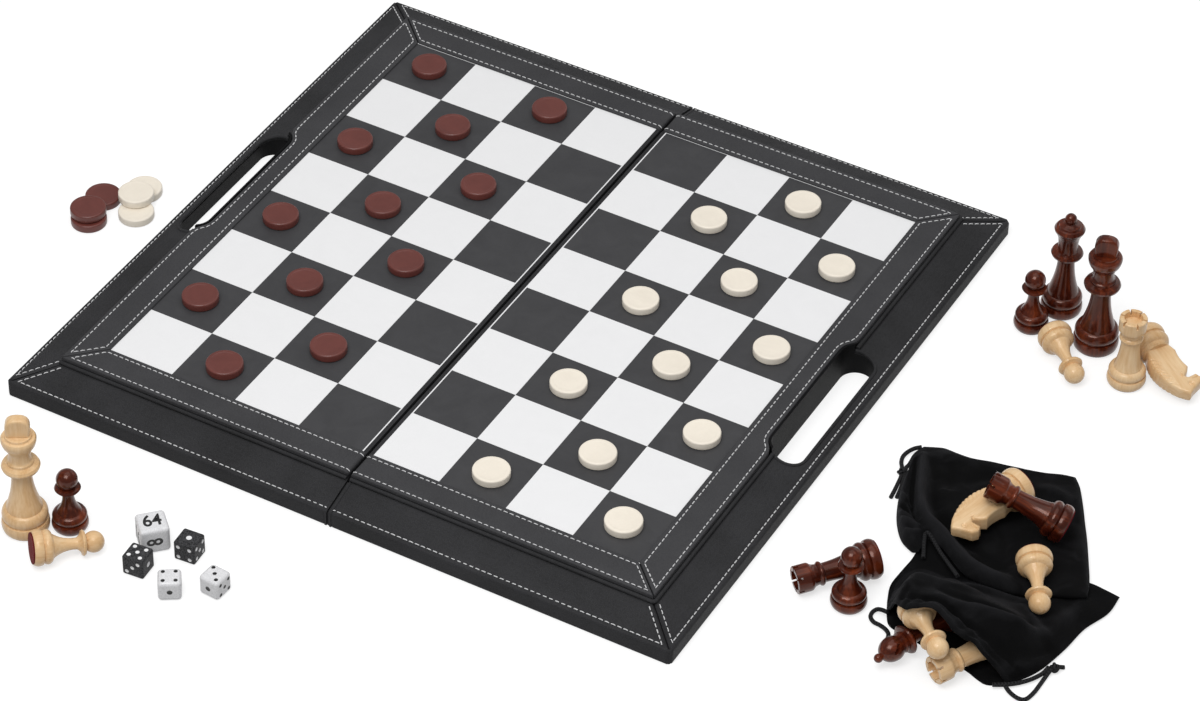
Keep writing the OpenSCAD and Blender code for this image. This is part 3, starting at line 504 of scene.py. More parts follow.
def slot_edge(side, grow):
    """The hand slot's edge on the field's side (-1) or the rim's side (+1), between the two places
    where it crosses the step line: an arc, a straight run and an arc."""
    r, half = SLOT_W / 2 + grow, (SLOT_L - SLOT_W) / 2
    cross = math.degrees(math.acos((STEP_X - SLOT_X) / r))
    a = np.radians(np.linspace(cross, 180, 14) if side < 0 else np.linspace(cross, 0, 26))
    top = np.stack([SLOT_X + r * np.cos(a), half + r * np.sin(a)], 1)
    return np.vstack([top, top[::-1] * [1, -1]])


def ends_dense(p, step, near=(0.0, 0.25, 0.55, 0.95, 1.4, 1.9, 2.5, 3.3)):
    """Samples of the line p as shares of its length: evenly stepped in the middle, and closer
    together at both ends."""
    length = arc_length(p)[-1]
    near = np.asarray(near)
    middle = np.linspace(near[-1], length - near[-1], max(3, int((length - 2 * near[-1]) / step)))
    t = np.concatenate([near[:-1], middle, length - near[:-1][::-1]])
    return t / length


def rolled(distance, roll):
    """How far a quarter-round edge of the given radius has dropped at a distance from the edge."""
    return roll - np.sqrt(np.clip(roll ** 2 - np.clip(roll - distance, 0, roll) ** 2, 0, None))


def thread_pull(plan, rows, pitch, wide, deep, hole_deep):
    """How far the thread draws a cover in: a bell of the distance from its sewn lines, a little
    deeper at each needle hole."""
    pull = np.zeros(plan.shape[:-1])
    for row in rows:
        g, along = line_distance(plan, row)
        hole = 0.5 + 0.5 * np.cos(2 * math.pi * along / pitch)
        pull = np.maximum(pull, np.exp(-(g / wide) ** 2) * (deep + hole_deep * hole))
    return pull


def leather_height(plan, edge, rows, case):
    """Height of a border strip over its flat base: zero on top, rounded down at its edge and into
    the fold, and drawn in along its sewn lines."""
    d, _ = line_distance(plan, edge)
    down = np.maximum(rolled(d, case.strip_roll_mm), rolled(plan[..., 0] - FOLD_X, FOLD_ROLL))
    return -down - thread_pull(plan, rows, case.stitch_pitch_mm, 0.75, 0.22, 0.16)


def strip_lines(part):
    """Plan of a border strip of the right half: its boundary lines on the field's side and on the
    outer side, from one end to the other."""
    if part == "side":
        notch = slot_edge(-1, COVER_T + MITRE_GAP)
        top = notch[0]
        lead = np.array([[STEP_X, STEP_Y - MITRE_GAP], [STEP_X, top[1] + 5], [STEP_X - 0.35, top[1] + 2.2]])
        path = np.vstack([lead, notch[2:-2], lead[::-1] * [1, -1]])
        outer = polyline(path[::-1], 1.0)
        for _ in range(6):
            outer[1:-1] = 0.25 * outer[:-2] + 0.5 * outer[1:-1] + 0.25 * outer[2:]
        order = np.argsort(outer[:, 1], kind="stable")
        outer = outer[order]
        t = np.linspace(0, 1, 330)
        yi = (FIELD_Y - LAP_Y - MITRE_GAP) * (2 * t - 1)
        yo = STEP_Y * (2 * t - 1) * (1 - MITRE_GAP / STEP_Y)
        return (np.stack([0 * yi + FIELD_X - LAP_X, yi], 1),
                np.stack([np.interp(yo, outer[:, 1], outer[:, 0]), yo], 1))
    s = 1 if part == "far" else -1
    lap = s * (FIELD_Y - LAP_Y)
    inner = seg([FOLD_X + 0.1, lap], [FIELD_X - LAP_X - MITRE_GAP, lap], 1.0)
    outer = seg([FOLD_X + 0.1, s * STEP_Y], [STEP_X - MITRE_GAP, s * STEP_Y], 1.0)
    n = max(len(inner), len(outer))
    return resample(inner, n), resample(outer, n)


def strip_rows(part, outer):
    """Sewn lines of a border strip: along both long edges, and along its mitres."""
    c = STRIP_STITCH_IN
    if part == "side":
        grad = np.gradient(outer[:, 0], outer[:, 1])
        shift = c * np.sqrt(1 + grad ** 2)
        b = outer - np.stack([shift, 0 * shift], 1)
        b = b[np.abs(b[:, 1]) < STEP_Y - c * (1 + math.sqrt(2))]
        lim = FIELD_Y + c - c * math.sqrt(2)
        a = seg([FIELD_X + c, -lim], [FIELD_X + c, lim], 1.0)
        return [np.vstack([a, seg(a[-1], b[-1], 1.0)[1:-1], b[::-1], seg(b[0], a[0], 1.0)[1:]])]
    s = 1 if part == "far" else -1
    xi = FIELD_X + c - c * math.sqrt(2)
    xo = STEP_X - c - c * math.sqrt(2)
    return [polyline([[FOLD_X + 0.1, s * (FIELD_Y + c)], [xi, s * (FIELD_Y + c)],
                      [xo, s * (STEP_Y - c)], [FOLD_X + 0.1, s * (STEP_Y - c)]], 1.0)]


def add_panel(sheets, plan, top, floor, mirror):
    """A closed pad: its top grid, the same grid flat at floor height, and a wall between them."""
    low = np.concatenate([plan, np.full(plan.shape[:2] + (1,), floor)], 2)
    high = np.concatenate([plan, top[..., None]], 2)
    m = np.array([mirror, 1, 1])
    sheets.add(high * m, uv=plan / 100)
    sheets.add(low * m, uv=plan / 100)
    for a, b in ((high[0], low[0]), (high[-1], low[-1]), (high[:, 0], low[:, 0]), (high[:, -1], low[:, -1])):
        k = np.array([0, 0.35, 1])[:, None, None]
        sheets.add((a[None] + (b - a)[None] * k) * m)


def skirt_z(u):
    """Height of a skirt's slope at a distance from the step."""
    return SHOULDER_Z - (SHOULDER_Z - RIM_Z) * u / SKIRT_W


def corner_x(y):
    """The rim's distance from the fold at y, drawn in round the case's corner."""
    over = np.clip(np.abs(y) - (OUT_Y - CORNER_R), 0, CORNER_R)
    return OUT_X - CORNER_R + np.sqrt(CORNER_R ** 2 - over ** 2)


def corner_y(x):
    """The rim's distance from the middle at x, drawn in round the case's corner."""
    over = np.clip(np.abs(x) - (OUT_X - CORNER_R), 0, CORNER_R)
    return OUT_Y - CORNER_R + np.sqrt(CORNER_R ** 2 - over ** 2)


def skirt_lines(part):
    """Plan of a skirt of the right half: its inner and its outer boundary line, paired point by
    point. The side skirt's inner line runs round the hand slot."""
    cut = CORNER_R * (1 - math.sqrt(0.5)) + MITRE_GAP
    if part == "side":
        arc = slot_edge(1, 0.0)[::-1]
        first, last = arc[0], arc[-1]
        ends = STEP_Y - MITRE_GAP
        inner = np.vstack([seg([STEP_X, -ends], first, 1.2)[:-1], arc, seg(last, [STEP_X, ends], 1.2)[1:]])
        s = arc_length(inner)
        n1 = len(seg([STEP_X, -ends], first, 1.2)) - 1
        yo = np.empty(len(inner))
        yo[:n1] = np.linspace(-(OUT_Y - cut), -54, n1, endpoint=False)
        yo[-n1:] = -yo[:n1][::-1]
        # From the ends of the slot the pairs fan out to the rim
        yo[n1:-n1] = np.interp(s[n1:-n1], [s[n1], s[n1 + 25], s[-n1 - 26], s[-n1 - 1]], [-54, -38, 38, 54])
        return inner, np.stack([corner_x(yo), yo], 1)
    s = 1 if part == "far" else -1
    xi = np.concatenate([[FOLD_X, FOLD_X + 0.3, FOLD_X + 0.7, FOLD_X + 1.2, FOLD_X + 1.8],
                         np.linspace(FOLD_X + 2.6, STEP_X - MITRE_GAP, 150)])
    xo = np.concatenate([xi[:5], np.linspace(FOLD_X + 2.6, OUT_X - cut, 150)])
    return np.stack([xi, 0 * xi + s * STEP_Y], 1), np.stack([xo, s * corner_y(xo)], 1)


def skirt_rows(part):
    """Sewn lines of a skirt: near its rim, and along its mitres up to the step."""
    c = SKIRT_STITCH_IN
    k, back = c * (1 + math.sqrt(2)), ROW_START - c * math.sqrt(2)
    if part == "side":
        x, y = OUT_X - c, OUT_Y - k
        return [polyline([[STEP_X + ROW_START, -STEP_Y - back], [x, -y], [x, y],
                          [STEP_X + ROW_START, STEP_Y + back]], 1.0)]
    s = 1 if part == "far" else -1
    y = s * (OUT_Y - c)
    return [polyline([[FOLD_X + 0.1, y], [OUT_X - k, y], [STEP_X + back, s * (STEP_Y + ROW_START)]], 1.0)]


def skirt_grid(part, case):
    """A skirt's cover as rows across it: the slope, the rounded rim and the wall down to the table.
    The height is the slope less the roll at its edges and the sewn line's draw."""
    inner, outer = skirt_lines(part)
    share = np.array([0, 0.012, 0.03, 0.055, 0.09, 0.14, 0.22, 0.34, 0.46, 0.58, 0.68, 0.76, 0.8, 0.83, 0.85,
                      0.87, 0.885, 0.902])
    plan = inner[:, None] + (outer - inner)[:, None] * share[None, :, None]
    out = plan[..., 0] - STEP_X if part == "side" else np.abs(plan[..., 1]) - STEP_Y
    first, last = (line_distance(plan, np.stack([inner[k], outer[k]]))[0] for k in (0, -1))
    front, _ = line_distance(plan, inner)
    ends, roll = np.minimum(first, last), SKIRT_ROLL
    first_roll = roll if part == "side" else FOLD_ROLL
    down = np.maximum(rolled(np.minimum(last, front), roll), rolled(first, first_roll))
    pull = thread_pull(plan, skirt_rows(part), case.stitch_pitch_mm, 0.8, 0.24, 0.18)
    x, y, z = plan[..., 0], plan[..., 1], 0 * down
    sag = 0.16 * wave_noise(x, y, z, 60.0, 4) + 0.07 * wave_noise(x, y, z, 17.0, 9)
    z = skirt_z(out) - down - pull + sag * smoothstep(front, 1, 5) * smoothstep(ends, 1, 5)
    grid = np.concatenate([plan, z[..., None]], 2)
    slope = math.atan((SHOULDER_Z - RIM_Z) / SKIRT_W)
    a = np.linspace(math.pi / 2 - slope, 0, 7)
    flat, ones = np.zeros(len(outer)), np.ones(len(outer))
    unit = np.stack([ones, flat] if part == "side" else [flat, np.sign(outer[:, 1])], 1)
    base = outer - RIM_R * unit
    cz = skirt_z(SKIRT_W - RIM_R) - RIM_R / math.cos(slope)
    tuck = np.maximum(rolled(np.linalg.norm(outer - outer[0], axis=1), first_roll),
                      rolled(np.linalg.norm(outer - outer[-1], axis=1), roll))
    rows = []
    for t in a[1:]:
        rows.append(np.concatenate([base + (RIM_R - tuck)[:, None] * math.cos(t) * unit,
                                    (cz + (RIM_R - tuck) * math.sin(t))[:, None]], 1))
    for z_wall, drawn in ((6.0, 0), (4.5, 0), (3.0, 0), (1.6, 0), (0.5, 0.05), (0.12, 0.3), (0.0, 0.7)):
        level = np.full((len(outer), 1), z_wall)
        rows.append(np.concatenate([outer - (drawn + tuck)[:, None] * unit, level], 1))
    wall = np.stack(rows, 1)
    under = grid - [0, 0, COVER_IN]
    inward = np.concatenate([COVER_IN * unit, 0 * unit[:, :1]], 1)[:, None]
    behind = wall - inward * np.clip(1.5 - wall[..., 2:] / 8, 0.5, 1)
    behind[..., :2] = np.where(wall[..., 2:] < 1, base[:, None] + (RIM_R - COVER_IN) * unit[:, None],
                               behind[..., :2])
    behind[..., 2] = np.where(wall[..., 2] > cz, wall[..., 2] - COVER_IN * 0.8, wall[..., 2])
    return np.concatenate([grid, wall], 1), np.concatenate([under, behind], 1)


def add_shell(sheets, grid, inside, mirror):
    """Closes a curved cover into a thin solid: its outside, its inside, and the edges between them."""
    m = np.array([mirror, 1, 1])
    sheets.add(grid * m)
    sheets.add(inside * m)
    for a, b in ((grid[0], inside[0]), (grid[-1], inside[-1]), (grid[:, 0], inside[:, 0]),
                 (grid[:, -1], inside[:, -1])):
        sheets.add(np.stack([a, b]) * m)


def surface_height(part, kind, plan):
    """Height of the leatherette's top at the sewn lines, for the thread to lie on."""
    turned = rolled(plan[:, 0] - FOLD_X, FOLD_ROLL)
    if kind == "strip":
        return STRIP_TOP - 0.34 - turned
    out = plan[:, 0] - STEP_X if part == "side" else np.abs(plan[:, 1]) - STEP_Y
    return skirt_z(np.clip(out, 0, SKIRT_W)) - 0.3 - turned


def thread_frames(row, heights, pitch, normal):
    """Middle, direction, side and upright of each stitch on a sewn line, one stitch to each pitch.
    normal is the leatherette's."""
    line = np.concatenate([row, heights[:, None]], 1)
    s = arc_length(line)
    count = int(round(s[-1] / pitch))
    at = (np.arange(count) + 0.5) * s[-1] / count
    mid = at_length(line, at)
    ahead = at_length(line, np.minimum(at + 0.3 * pitch, s[-1])) - at_length(line,
            np.maximum(at - 0.3 * pitch, 0))
    t = ahead / np.linalg.norm(ahead, axis=1)[:, None]
    side = np.cross(np.broadcast_to(normal, t.shape), t)
    side /= np.linalg.norm(side, axis=1)[:, None]
    return mid, t, side, np.cross(t, side)


def add_stitches(sheets, frames, length, width, mirror):
    """Stitches: a thin rounded bar, arched up in its middle, whose ends go into the leatherette."""
    mid, t, side, up = frames
    x = np.array([-1, -0.92, -0.6, 0, 0.6, 0.92, 1])
    r = np.array([0, 0.75, 1, 1, 1, 0.75, 0])
    lift = np.array([-0.3, -0.12, 0.16, 0.24, 0.16, -0.12, -0.3])
    a = even_turns(6)
    local = np.stack([np.repeat(x[:, None] * length / 2, 6, 1), r[:, None] * np.cos(a) * width / 2,
                      lift[:, None] + r[:, None] * np.sin(a) * width * 0.36], -1)
    shape = np.einsum("uvk,nkc->nuvc", local, np.stack([t, side, up], 1)) + mid[:, None, None]
    for g in shape * np.array([mirror, 1, 1]):
        sheets.add(g, close_v=True)


class CaseSizes(bpy.types.PropertyGroup):
    """What a user would change on the case."""

    stitch_pitch_mm: bpy.props.FloatProperty(
        name="Stitch pitch", description="Distance from stitch to stitch, in millimetres",
        default=3.45, min=2.5, max=8)
    stitch_length_mm: bpy.props.FloatProperty(
        name="Stitch length", description="Length of thread that shows, in millimetres",
        default=2.75, min=1.5, max=6)
    stitch_width_mm: bpy.props.FloatProperty(
        name="Thread width", description="Width of the thread, in millimetres",
        default=0.64, min=0.3, max=1.5)
    strip_roll_mm: bpy.props.FloatProperty(
        name="Strip roll", description="Rounding of a border strip's edge, in millimetres",
        default=0.6, min=0.4, max=2)


class GamesLook(bpy.types.PropertyGroup):
    """How fine the men and the chess pieces are, and how wide the drawstrings."""

    men_turns: bpy.props.IntProperty(
        name="Men smoothness", description="Faces round a draughtsman", default=72, min=24, max=128)
    cord_mm: bpy.props.FloatProperty(
        name="Drawstring width", description="Width of a drawstring, in millimetres",
        default=2.2, min=1, max=4)
    wood_turns: bpy.props.IntProperty(
        name="Chess smoothness", description="Faces round a turned chess piece", default=72, min=24, max=128)


class CASE_OT_borders(bpy.types.Operator):
    """Sewn border strips round both fields, padded and mitred"""

    bl_idname = "games.borders"
    bl_label = "Border strips"

    def execute(self, context):
        case = context.scene.case_sizes
        for half, mirror in HALVES:
            for part in ("far", "side", "near"):
                inner, outer = strip_lines(part)
                t = ends_dense(outer, 1.25)
                a, b = at_length(inner, t * arc_length(inner)[-1]), at_length(outer, t * arc_length(outer)[-1])
                plan = a[:, None] + (b - a)[:, None] * np.asarray(ACROSS)[None, :, None]
                edge = np.vstack([inner, outer[::-1], inner[:1]])
                top = STRIP_TOP + leather_height(plan, edge, strip_rows(part, outer), case)
                sheets = Sheets()
                add_panel(sheets, plan, top, BOARD_TOP - 0.35, mirror)
                obj = sheets.make(f"{half}_{part}_border", 50)
                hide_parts(f"{half}_{part}_strip")
                dress(obj, "border_leatherette", f"{half}_half")
        return {"FINISHED"}


class CASE_OT_skirts(bpy.types.Operator):
    """Sloping skirts with their rolled rims, the rolled step under the border and the web in the fold"""

    bl_idname = "games.skirts"
    bl_label = "Skirts"

    def execute(self, context):
        case = context.scene.case_sizes
        for half, mirror in HALVES:
            for part in ("far", "side", "near"):
                grid, inside = skirt_grid(part, case)
                sheets = Sheets()
                add_shell(sheets, grid, inside, mirror)
                obj = sheets.make(f"{half}_{part}_apron", 50)
                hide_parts(f"{half}_{part}_skirt")
                dress(obj, "skirt_leatherette_shaded", f"{half}_half")
            sheets = Sheets()
            edge_y = slot_edge(-1, 0)[0][1]
            x, y = STEP_X + STEP_OUT, STEP_Y + STEP_OUT
            for s in (1, -1):
                path = polyline([[FOLD_X + 0.4, s * y], [x - 1.2, s * y], [x - 0.35, s * (y - 0.35)],
                                 [x, s * (y - 1.2)], [x, s * (edge_y + 1.6)]], 2.0)
                path = np.concatenate([path, np.full((len(path), 1), STEP_Z)], 1)
                sheets.add(tube_grid(path, STEP_R, 12) * [mirror, 1, 1], close_v=True)
            ring = slot_edge(1, 0.5)
            height = skirt_z(np.clip(ring[:, 0] - STEP_X, 0, SKIRT_W)) - 0.1
            sheets.add(tube_grid(np.concatenate([ring, height[:, None]], 1), RING_R, 12) * [mirror, 1, 1],
                       close_v=True)
            obj = sheets.make(f"{half}_step_roll", 60)
            dress(obj, "skirt_leatherette_shaded", f"{half}_half")
        sheets = Sheets()
        for s in (1, -1):
            slope_line = [[0, s * (STEP_Y + u), skirt_z(u) - 1.7] for u in (1, 5, 10, 15, SKIRT_W - 2.2)]
            wall_line = [[0, s * (OUT_Y - u), z] for u, z in ((1.4, 7.4), (1.3, 6), (1.2, 3), (1.1, 0.15))]
            sheets.add(tube_grid(np.array(slope_line + wall_line), WEB_R, 10), close_v=True)
        dress(sheets.make("fold_web", 60), "skirt_leatherette_shaded", "left_half")
        return {"FINISHED"}


class CASE_OT_stitching(bpy.types.Operator):
    """White stitches along the strips, the mitres and the rim"""

    bl_idname = "games.stitching"
    bl_label = "Stitching"

    def execute(self, context):
        case = context.scene.case_sizes
        slope = math.atan((SHOULDER_Z - RIM_Z) / SKIRT_W)
        for half, mirror in HALVES:
            sheets = Sheets()
            for part in ("far", "side", "near"):
                _, outer = strip_lines(part)
                lean = {"side": (math.sin(slope), 0), "far": (0, math.sin(slope)),
                        "near": (0, -math.sin(slope))}[part]
                for kind, rows, tip in (("strip", strip_rows(part, outer), (0, 0)),
                                        ("skirt", skirt_rows(part), lean)):
                    normal = (*tip, math.cos(slope) if any(tip) else 1)
                    for row in rows:
                        frames = thread_frames(row, surface_height(part, kind, row), case.stitch_pitch_mm,
                                               normal)
                        add_stitches(sheets, frames, case.stitch_length_mm, case.stitch_width_mm, mirror)
            obj = sheets.make(f"{half}_stitching", 80)
            dress(obj, "stitch_thread", f"{half}_half")
        return {"FINISHED"}


class CASE_OT_boards(bpy.types.Operator):
    """Finishes of the fields, linings, rails, hinge and magnets that the frame carries"""

    bl_idname = "games.boards"
    bl_label = "Boards and linings"

    def execute(self, context):
        looks = {"black_print": ("chess_field",), "white_print": ("light_squares", "backgammon_points"),
                 "skirt_leatherette_shaded": ("spine_cover", "hinge_flap"), "magnet_steel": ("magnets",),
                 "lining_leatherette_shaded": ("backgammon_sheet", "slot_lining", "fold_rail", "side_rail",
                                        "far_rail", "near_rail", "board_panel")}
        for half, _ in HALVES:
            for look, parts in looks.items():
                for part in parts:
                    dress(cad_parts[f"{half}_{part}"], look)
        dress(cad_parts["base_felts"], "red_felt")
        return {"FINISHED"}


# ---- draughtsmen ----

MAN_R, MAN_T = 9.7, 4.6
BROWN_AT = [(0, 0, -0.5, 1), (2, 0, 0, 1), (1, 1, 0.5, -1), (0, 2, -0.5, -0.5), (2, 2, 0.5, 0), (1, 3, 3, -1.5),
            (0, 4, -0.5, 1), (2, 4, 0.5, 1.5), (1, 5, 1.5, -0.5), (0, 6, -0.5, 0), (2, 6, 1.5, 0),
            (1, 7, 1.5, -0.5)]
CREAM_AT = [(6, 0, -1, -1), (5, 1, 0, 0), (7, 1, 0.5, -1), (6, 2, 0, 0.5), (5, 3, 1, -0.5), (7, 3, 1.5, -0.5),
            (6, 4, 1, 1), (5, 5, 1, 0), (7, 5, 1.5, 0.5), (6, 6, 2, -1), (5, 7, 1, -1), (7, 7, -1, 0.5)]
SPARE_BROWN = [(-236, -54, 0), (-240, -34.5, 0), (-237.5, -52, 1)]
SPARE_CREAM = [(-224.5, -18, 0), (-217, -37, 0), (-222.5, -28.5, 1)]


def man_line():
    """A draughtsman's outline: rounded edges and a shallow dish whose rim is a soft step."""
    r, t, e = MAN_R, MAN_T, 0.9
    low = [(r - e + e * math.cos(a), e + e * math.sin(a)) for a in np.radians(np.linspace(-90, 0, 7))]
    high = [(r - e + e * math.cos(a), t - e + e * math.sin(a)) for a in np.radians(np.linspace(0, 90, 7))]
    dish = [(7.9, t), (7.72, t - 0.04), (7.5, t - 0.12), (7.2, t - 0.15), (4.0, t - 0.14), (0, t - 0.13)]
    return np.array([(0, 0), (4, 0)] + low + [(r, t / 2)] + high + dish)


def board_place(c, r):
    """Middle of the square in a column and row, counted from the far left."""
    x = (c - 4 + 0.5) * SQUARE + (FIELD_X0 if c > 3 else -FIELD_X0)
    return x, FIELD_Y - (r + 0.5) * SQUARE


class GAMES_OT_men(bpy.types.Operator):
    """Draughtsmen on the field, and the spare ones on the table"""

    bl_idname = "games.men"
    bl_label = "Draughtsmen"

    def execute(self, context):
        look = context.scene.games_look
        shape = revolve_grid(man_line(), even_turns(look.men_turns))

        def build(name, centres, look, body):
            """The men of one node, each with the middle of its foot at one of the centres."""
            sheets = Sheets()
            for x, y, z in centres:
                sheets.add(shape + [x, y, z], close_v=True)
            obj = sheets.make(name, 50)
            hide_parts(name.replace("_pieces", ""))
            dress(obj, look, body)

        for name, places, resin, body in (("brown_men_pieces", BROWN_AT, "brown_resin", "left_half"),
                                          ("cream_men_pieces", CREAM_AT, "cream_resin", "right_half")):
            squares = [(board_place(c, r), dx, dy) for c, r, dx, dy in places]
            build(name, [(x + dx, y + dy, FIELD_Z) for (x, y), dx, dy in squares], resin, body)
        for name, places, resin in (("spare_brown_men_pieces", SPARE_BROWN, "brown_resin"),
                                    ("spare_cream_men_pieces", SPARE_CREAM, "cream_resin")):
            build(name, [(x, y, k * (MAN_T + 0.05)) for x, y, k in places], resin, "left_half")
        return {"FINISHED"}


# ---- dice ----

DIE_W, CUBE_W = 11.6, 15.0
CUBE_AT, CUBE_TURN = (-67.3, -244.3), 46.0
# For each pair: its piece, finish, slot and rounding, and each die's numbers on top, in front and on
# the right, its place and its turn
DICE = (("white_dice", "white_die", "white_resin", 2.0,
         (((4, 1, 2), (-40.6, -269.5), 33), ((3, 1, 5), (-22.5, -257), -4))),
        ("black_dice", "black_die", "black_resin", 1.1,
         (((1, 4, 5), (-47.1, -242.3), 4.5), ((5, 3, 1), (-63.1, -263.5), 4.5))))
# Numbers of the doubling cube: the way each one faces, and its turn on its face
NUMBERS = (("64", (0, 0, 1), 179.0), ("8", (0, -1, 0), 90.0), ("16", (-1, 0, 0), 0.0),
           ("4", (1, 0, 0), 0.0), ("32", (0, 1, 0), 0.0), ("2", (0, 0, -1), 0.0))
NUMBER_SIZE, NUMBER_STRETCH = 9.6, 1.15
PIPS = {1: [(0, 0)], 2: [(-1, 1), (1, -1)], 3: [(0, 0), (-1, 1), (1, -1)],
        4: [(-1, 1), (1, -1), (1, 1), (-1, -1)],
        5: [(0, 0), (-1, 1), (1, -1), (1, 1), (-1, -1)],
        6: [(-1, 1), (1, -1), (1, 1), (-1, -1), (0, 1), (0, -1)]}


def die_faces(top, front, right):
    """For each face its number, and the directions that its pips' two axes and its normal have."""
    x, y, z = np.eye(3)
    return [(top, x, y, z), (7 - top, x, -y, -z), (front, z, -x, -y), (7 - front, x, -z, y),
            (right, y, z, x), (7 - right, y, -z, -x)]


def add_die(sheets, width, round_r, faces, place, turn, pip_r=1.05, pip_in=0.28, n=46):
    """A rounded cube: each face is a grid of points, drawn to the rounded edge by the distance from
    an inner cube, with round dimples pressed in at its pips. mark is 1 in a pip and 0 outside."""
    h = width / 2
    g = h * np.linspace(-1, 1, n)
    u, v = np.meshgrid(g, g, indexing="ij")
    a = math.radians(turn)
    spin = np.array([[math.cos(a), -math.sin(a), 0], [math.sin(a), math.cos(a), 0], [0, 0, 1]])
    for number, ax, ay, an in faces:
        q = u[..., None] * ax + v[..., None] * ay + h * an
        core = np.clip(q, -(h - round_r), h - round_r)
        d = q - core
        p = core + round_r * d / np.linalg.norm(d, axis=2)[..., None]
        mark = np.zeros_like(u)
        for pu, pv in PIPS.get(number, []):
            r = pip_r * (1.35 if number == 1 else 1.0)
            gap = np.hypot(u - pu * 0.27 * width, v - pv * 0.27 * width) / r
            mark = np.maximum(mark, np.clip(1.5 - gap, 0, 1))
            p = p - (pip_in * np.clip(1 - gap ** 2, 0, 1))[..., None] * an
        sheets.add(p @ spin.T + [place[0], place[1], h], mark=mark)


def number_mesh(text, turn):
    """A painted number as a thin mesh: written flat about the origin and turned in its plane."""
    curve = bpy.data.curves.new("number", "FONT")
    curve.body, curve.size, curve.align_x, curve.align_y = text, NUMBER_SIZE * 0.001, "CENTER", "CENTER"
    curve.extrude, curve.offset, curve.resolution_u = 0.00004, 0.0002, 6
    temp = shown("number", curve)
    mesh = bpy.data.meshes.new_from_object(temp.evaluated_get(bpy.context.evaluated_depsgraph_get()))
    bpy.data.objects.remove(temp)
    tall = Matrix.Diagonal((1.0, NUMBER_STRETCH, 1.0, 1.0))
    mesh.transform(Matrix.Rotation(math.radians(turn), 4, "Z") @ tall)
    return mesh


class GAMES_OT_dice(bpy.types.Operator):
    """Two white and two black dice, and the doubling cube with its numbers"""

    bl_idname = "games.dice"
    bl_label = "Dice"

    def execute(self, context):
        for name, look, slot, round_r, dice in DICE:
            sheets = Sheets()
            for numbers, at, turn in dice:
                add_die(sheets, DIE_W, round_r, die_faces(*numbers), at, turn)
            obj = sheets.make(name + "_pair", 60)
            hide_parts(name)
            dress(obj, look, "left_half")
        sheets = Sheets()
        blank = [(0, ax, ay, an) for _, ax, ay, an in die_faces(1, 2, 3)]
        add_die(sheets, CUBE_W, 1.9, blank, CUBE_AT, CUBE_TURN, n=24)
        obj = sheets.make("doubling_cube_body", 60)
        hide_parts("doubling_cube")
        dress(obj, "white_die", "left_half")
        middle = Vector((*CUBE_AT, CUBE_W / 2)) * 0.001
        whole = Matrix.Translation(middle) @ Matrix.Rotation(math.radians(CUBE_TURN), 4, "Z")
        bm = bmesh.new()
        for text, direction, turn in NUMBERS:
            n = Vector(direction)
            out = Matrix.Translation(n * (CUBE_W / 2 + 0.01) * 0.001)
            mesh = number_mesh(text, turn)
            mesh.transform(whole @ out @ n.to_track_quat("Z", "Y").to_matrix().to_4x4())
            bm.from_mesh(mesh)
            bpy.data.meshes.remove(mesh)
        mesh = bpy.data.meshes.new("cube_numbers")
        bm.to_mesh(mesh)
        bm.free()
        dress(shown("cube_numbers", mesh), "number_paint", "left_half")
        return {"FINISHED"}


# ---- chess pieces ----


def bulge(a, b, s, n=10):
    """A curve from a to b that stands out by s at its middle: the straight line plus a parabola."""
    t = np.linspace(0, 1, n + 1)[:, None]
    a, b = np.asarray(a, float), np.asarray(b, float)
    out = np.array([b[1] - a[1], a[0] - b[0]]) / np.linalg.norm(b - a)
    return a + t * (b - a) + 4 * t * (1 - t) * s * out


def ball(z, r, start, n=14):
    """A ball's outline from a start angle to its top."""
    a = np.radians(np.linspace(start, 90, n + 1))
    return np.stack([r * np.cos(a), z + r * np.sin(a)], 1)


def foot(r, ring1, ring2):
    """The double-ringed foot: two rounded rings with a cut between them."""
    return [[(0, 0), (r - 0.9, 0)], bulge((r - 0.6, 0.4), (r - 0.5, ring1 - 0.1), 0.5, 8),
            [(r - 1.5, ring1 + 0.2)],
            bulge((r - 1.3, ring1 + 0.5), (r - 1.8, ring2), 1.0, 8), [(r - 3.0, ring2 + 0.5)]]


def outline(*parts):
    """One outline of points from its parts: each a list of points, an array, or a list of these."""
    flat = []
    for p in parts:
        if isinstance(p, list) and len(p) and isinstance(p[0], (list, np.ndarray)):
            flat.extend(np.asarray(q, float).reshape(-1, 2) for q in p)
        else:
            flat.append(np.asarray(p, float).reshape(-1, 2))
    return np.vstack(flat)


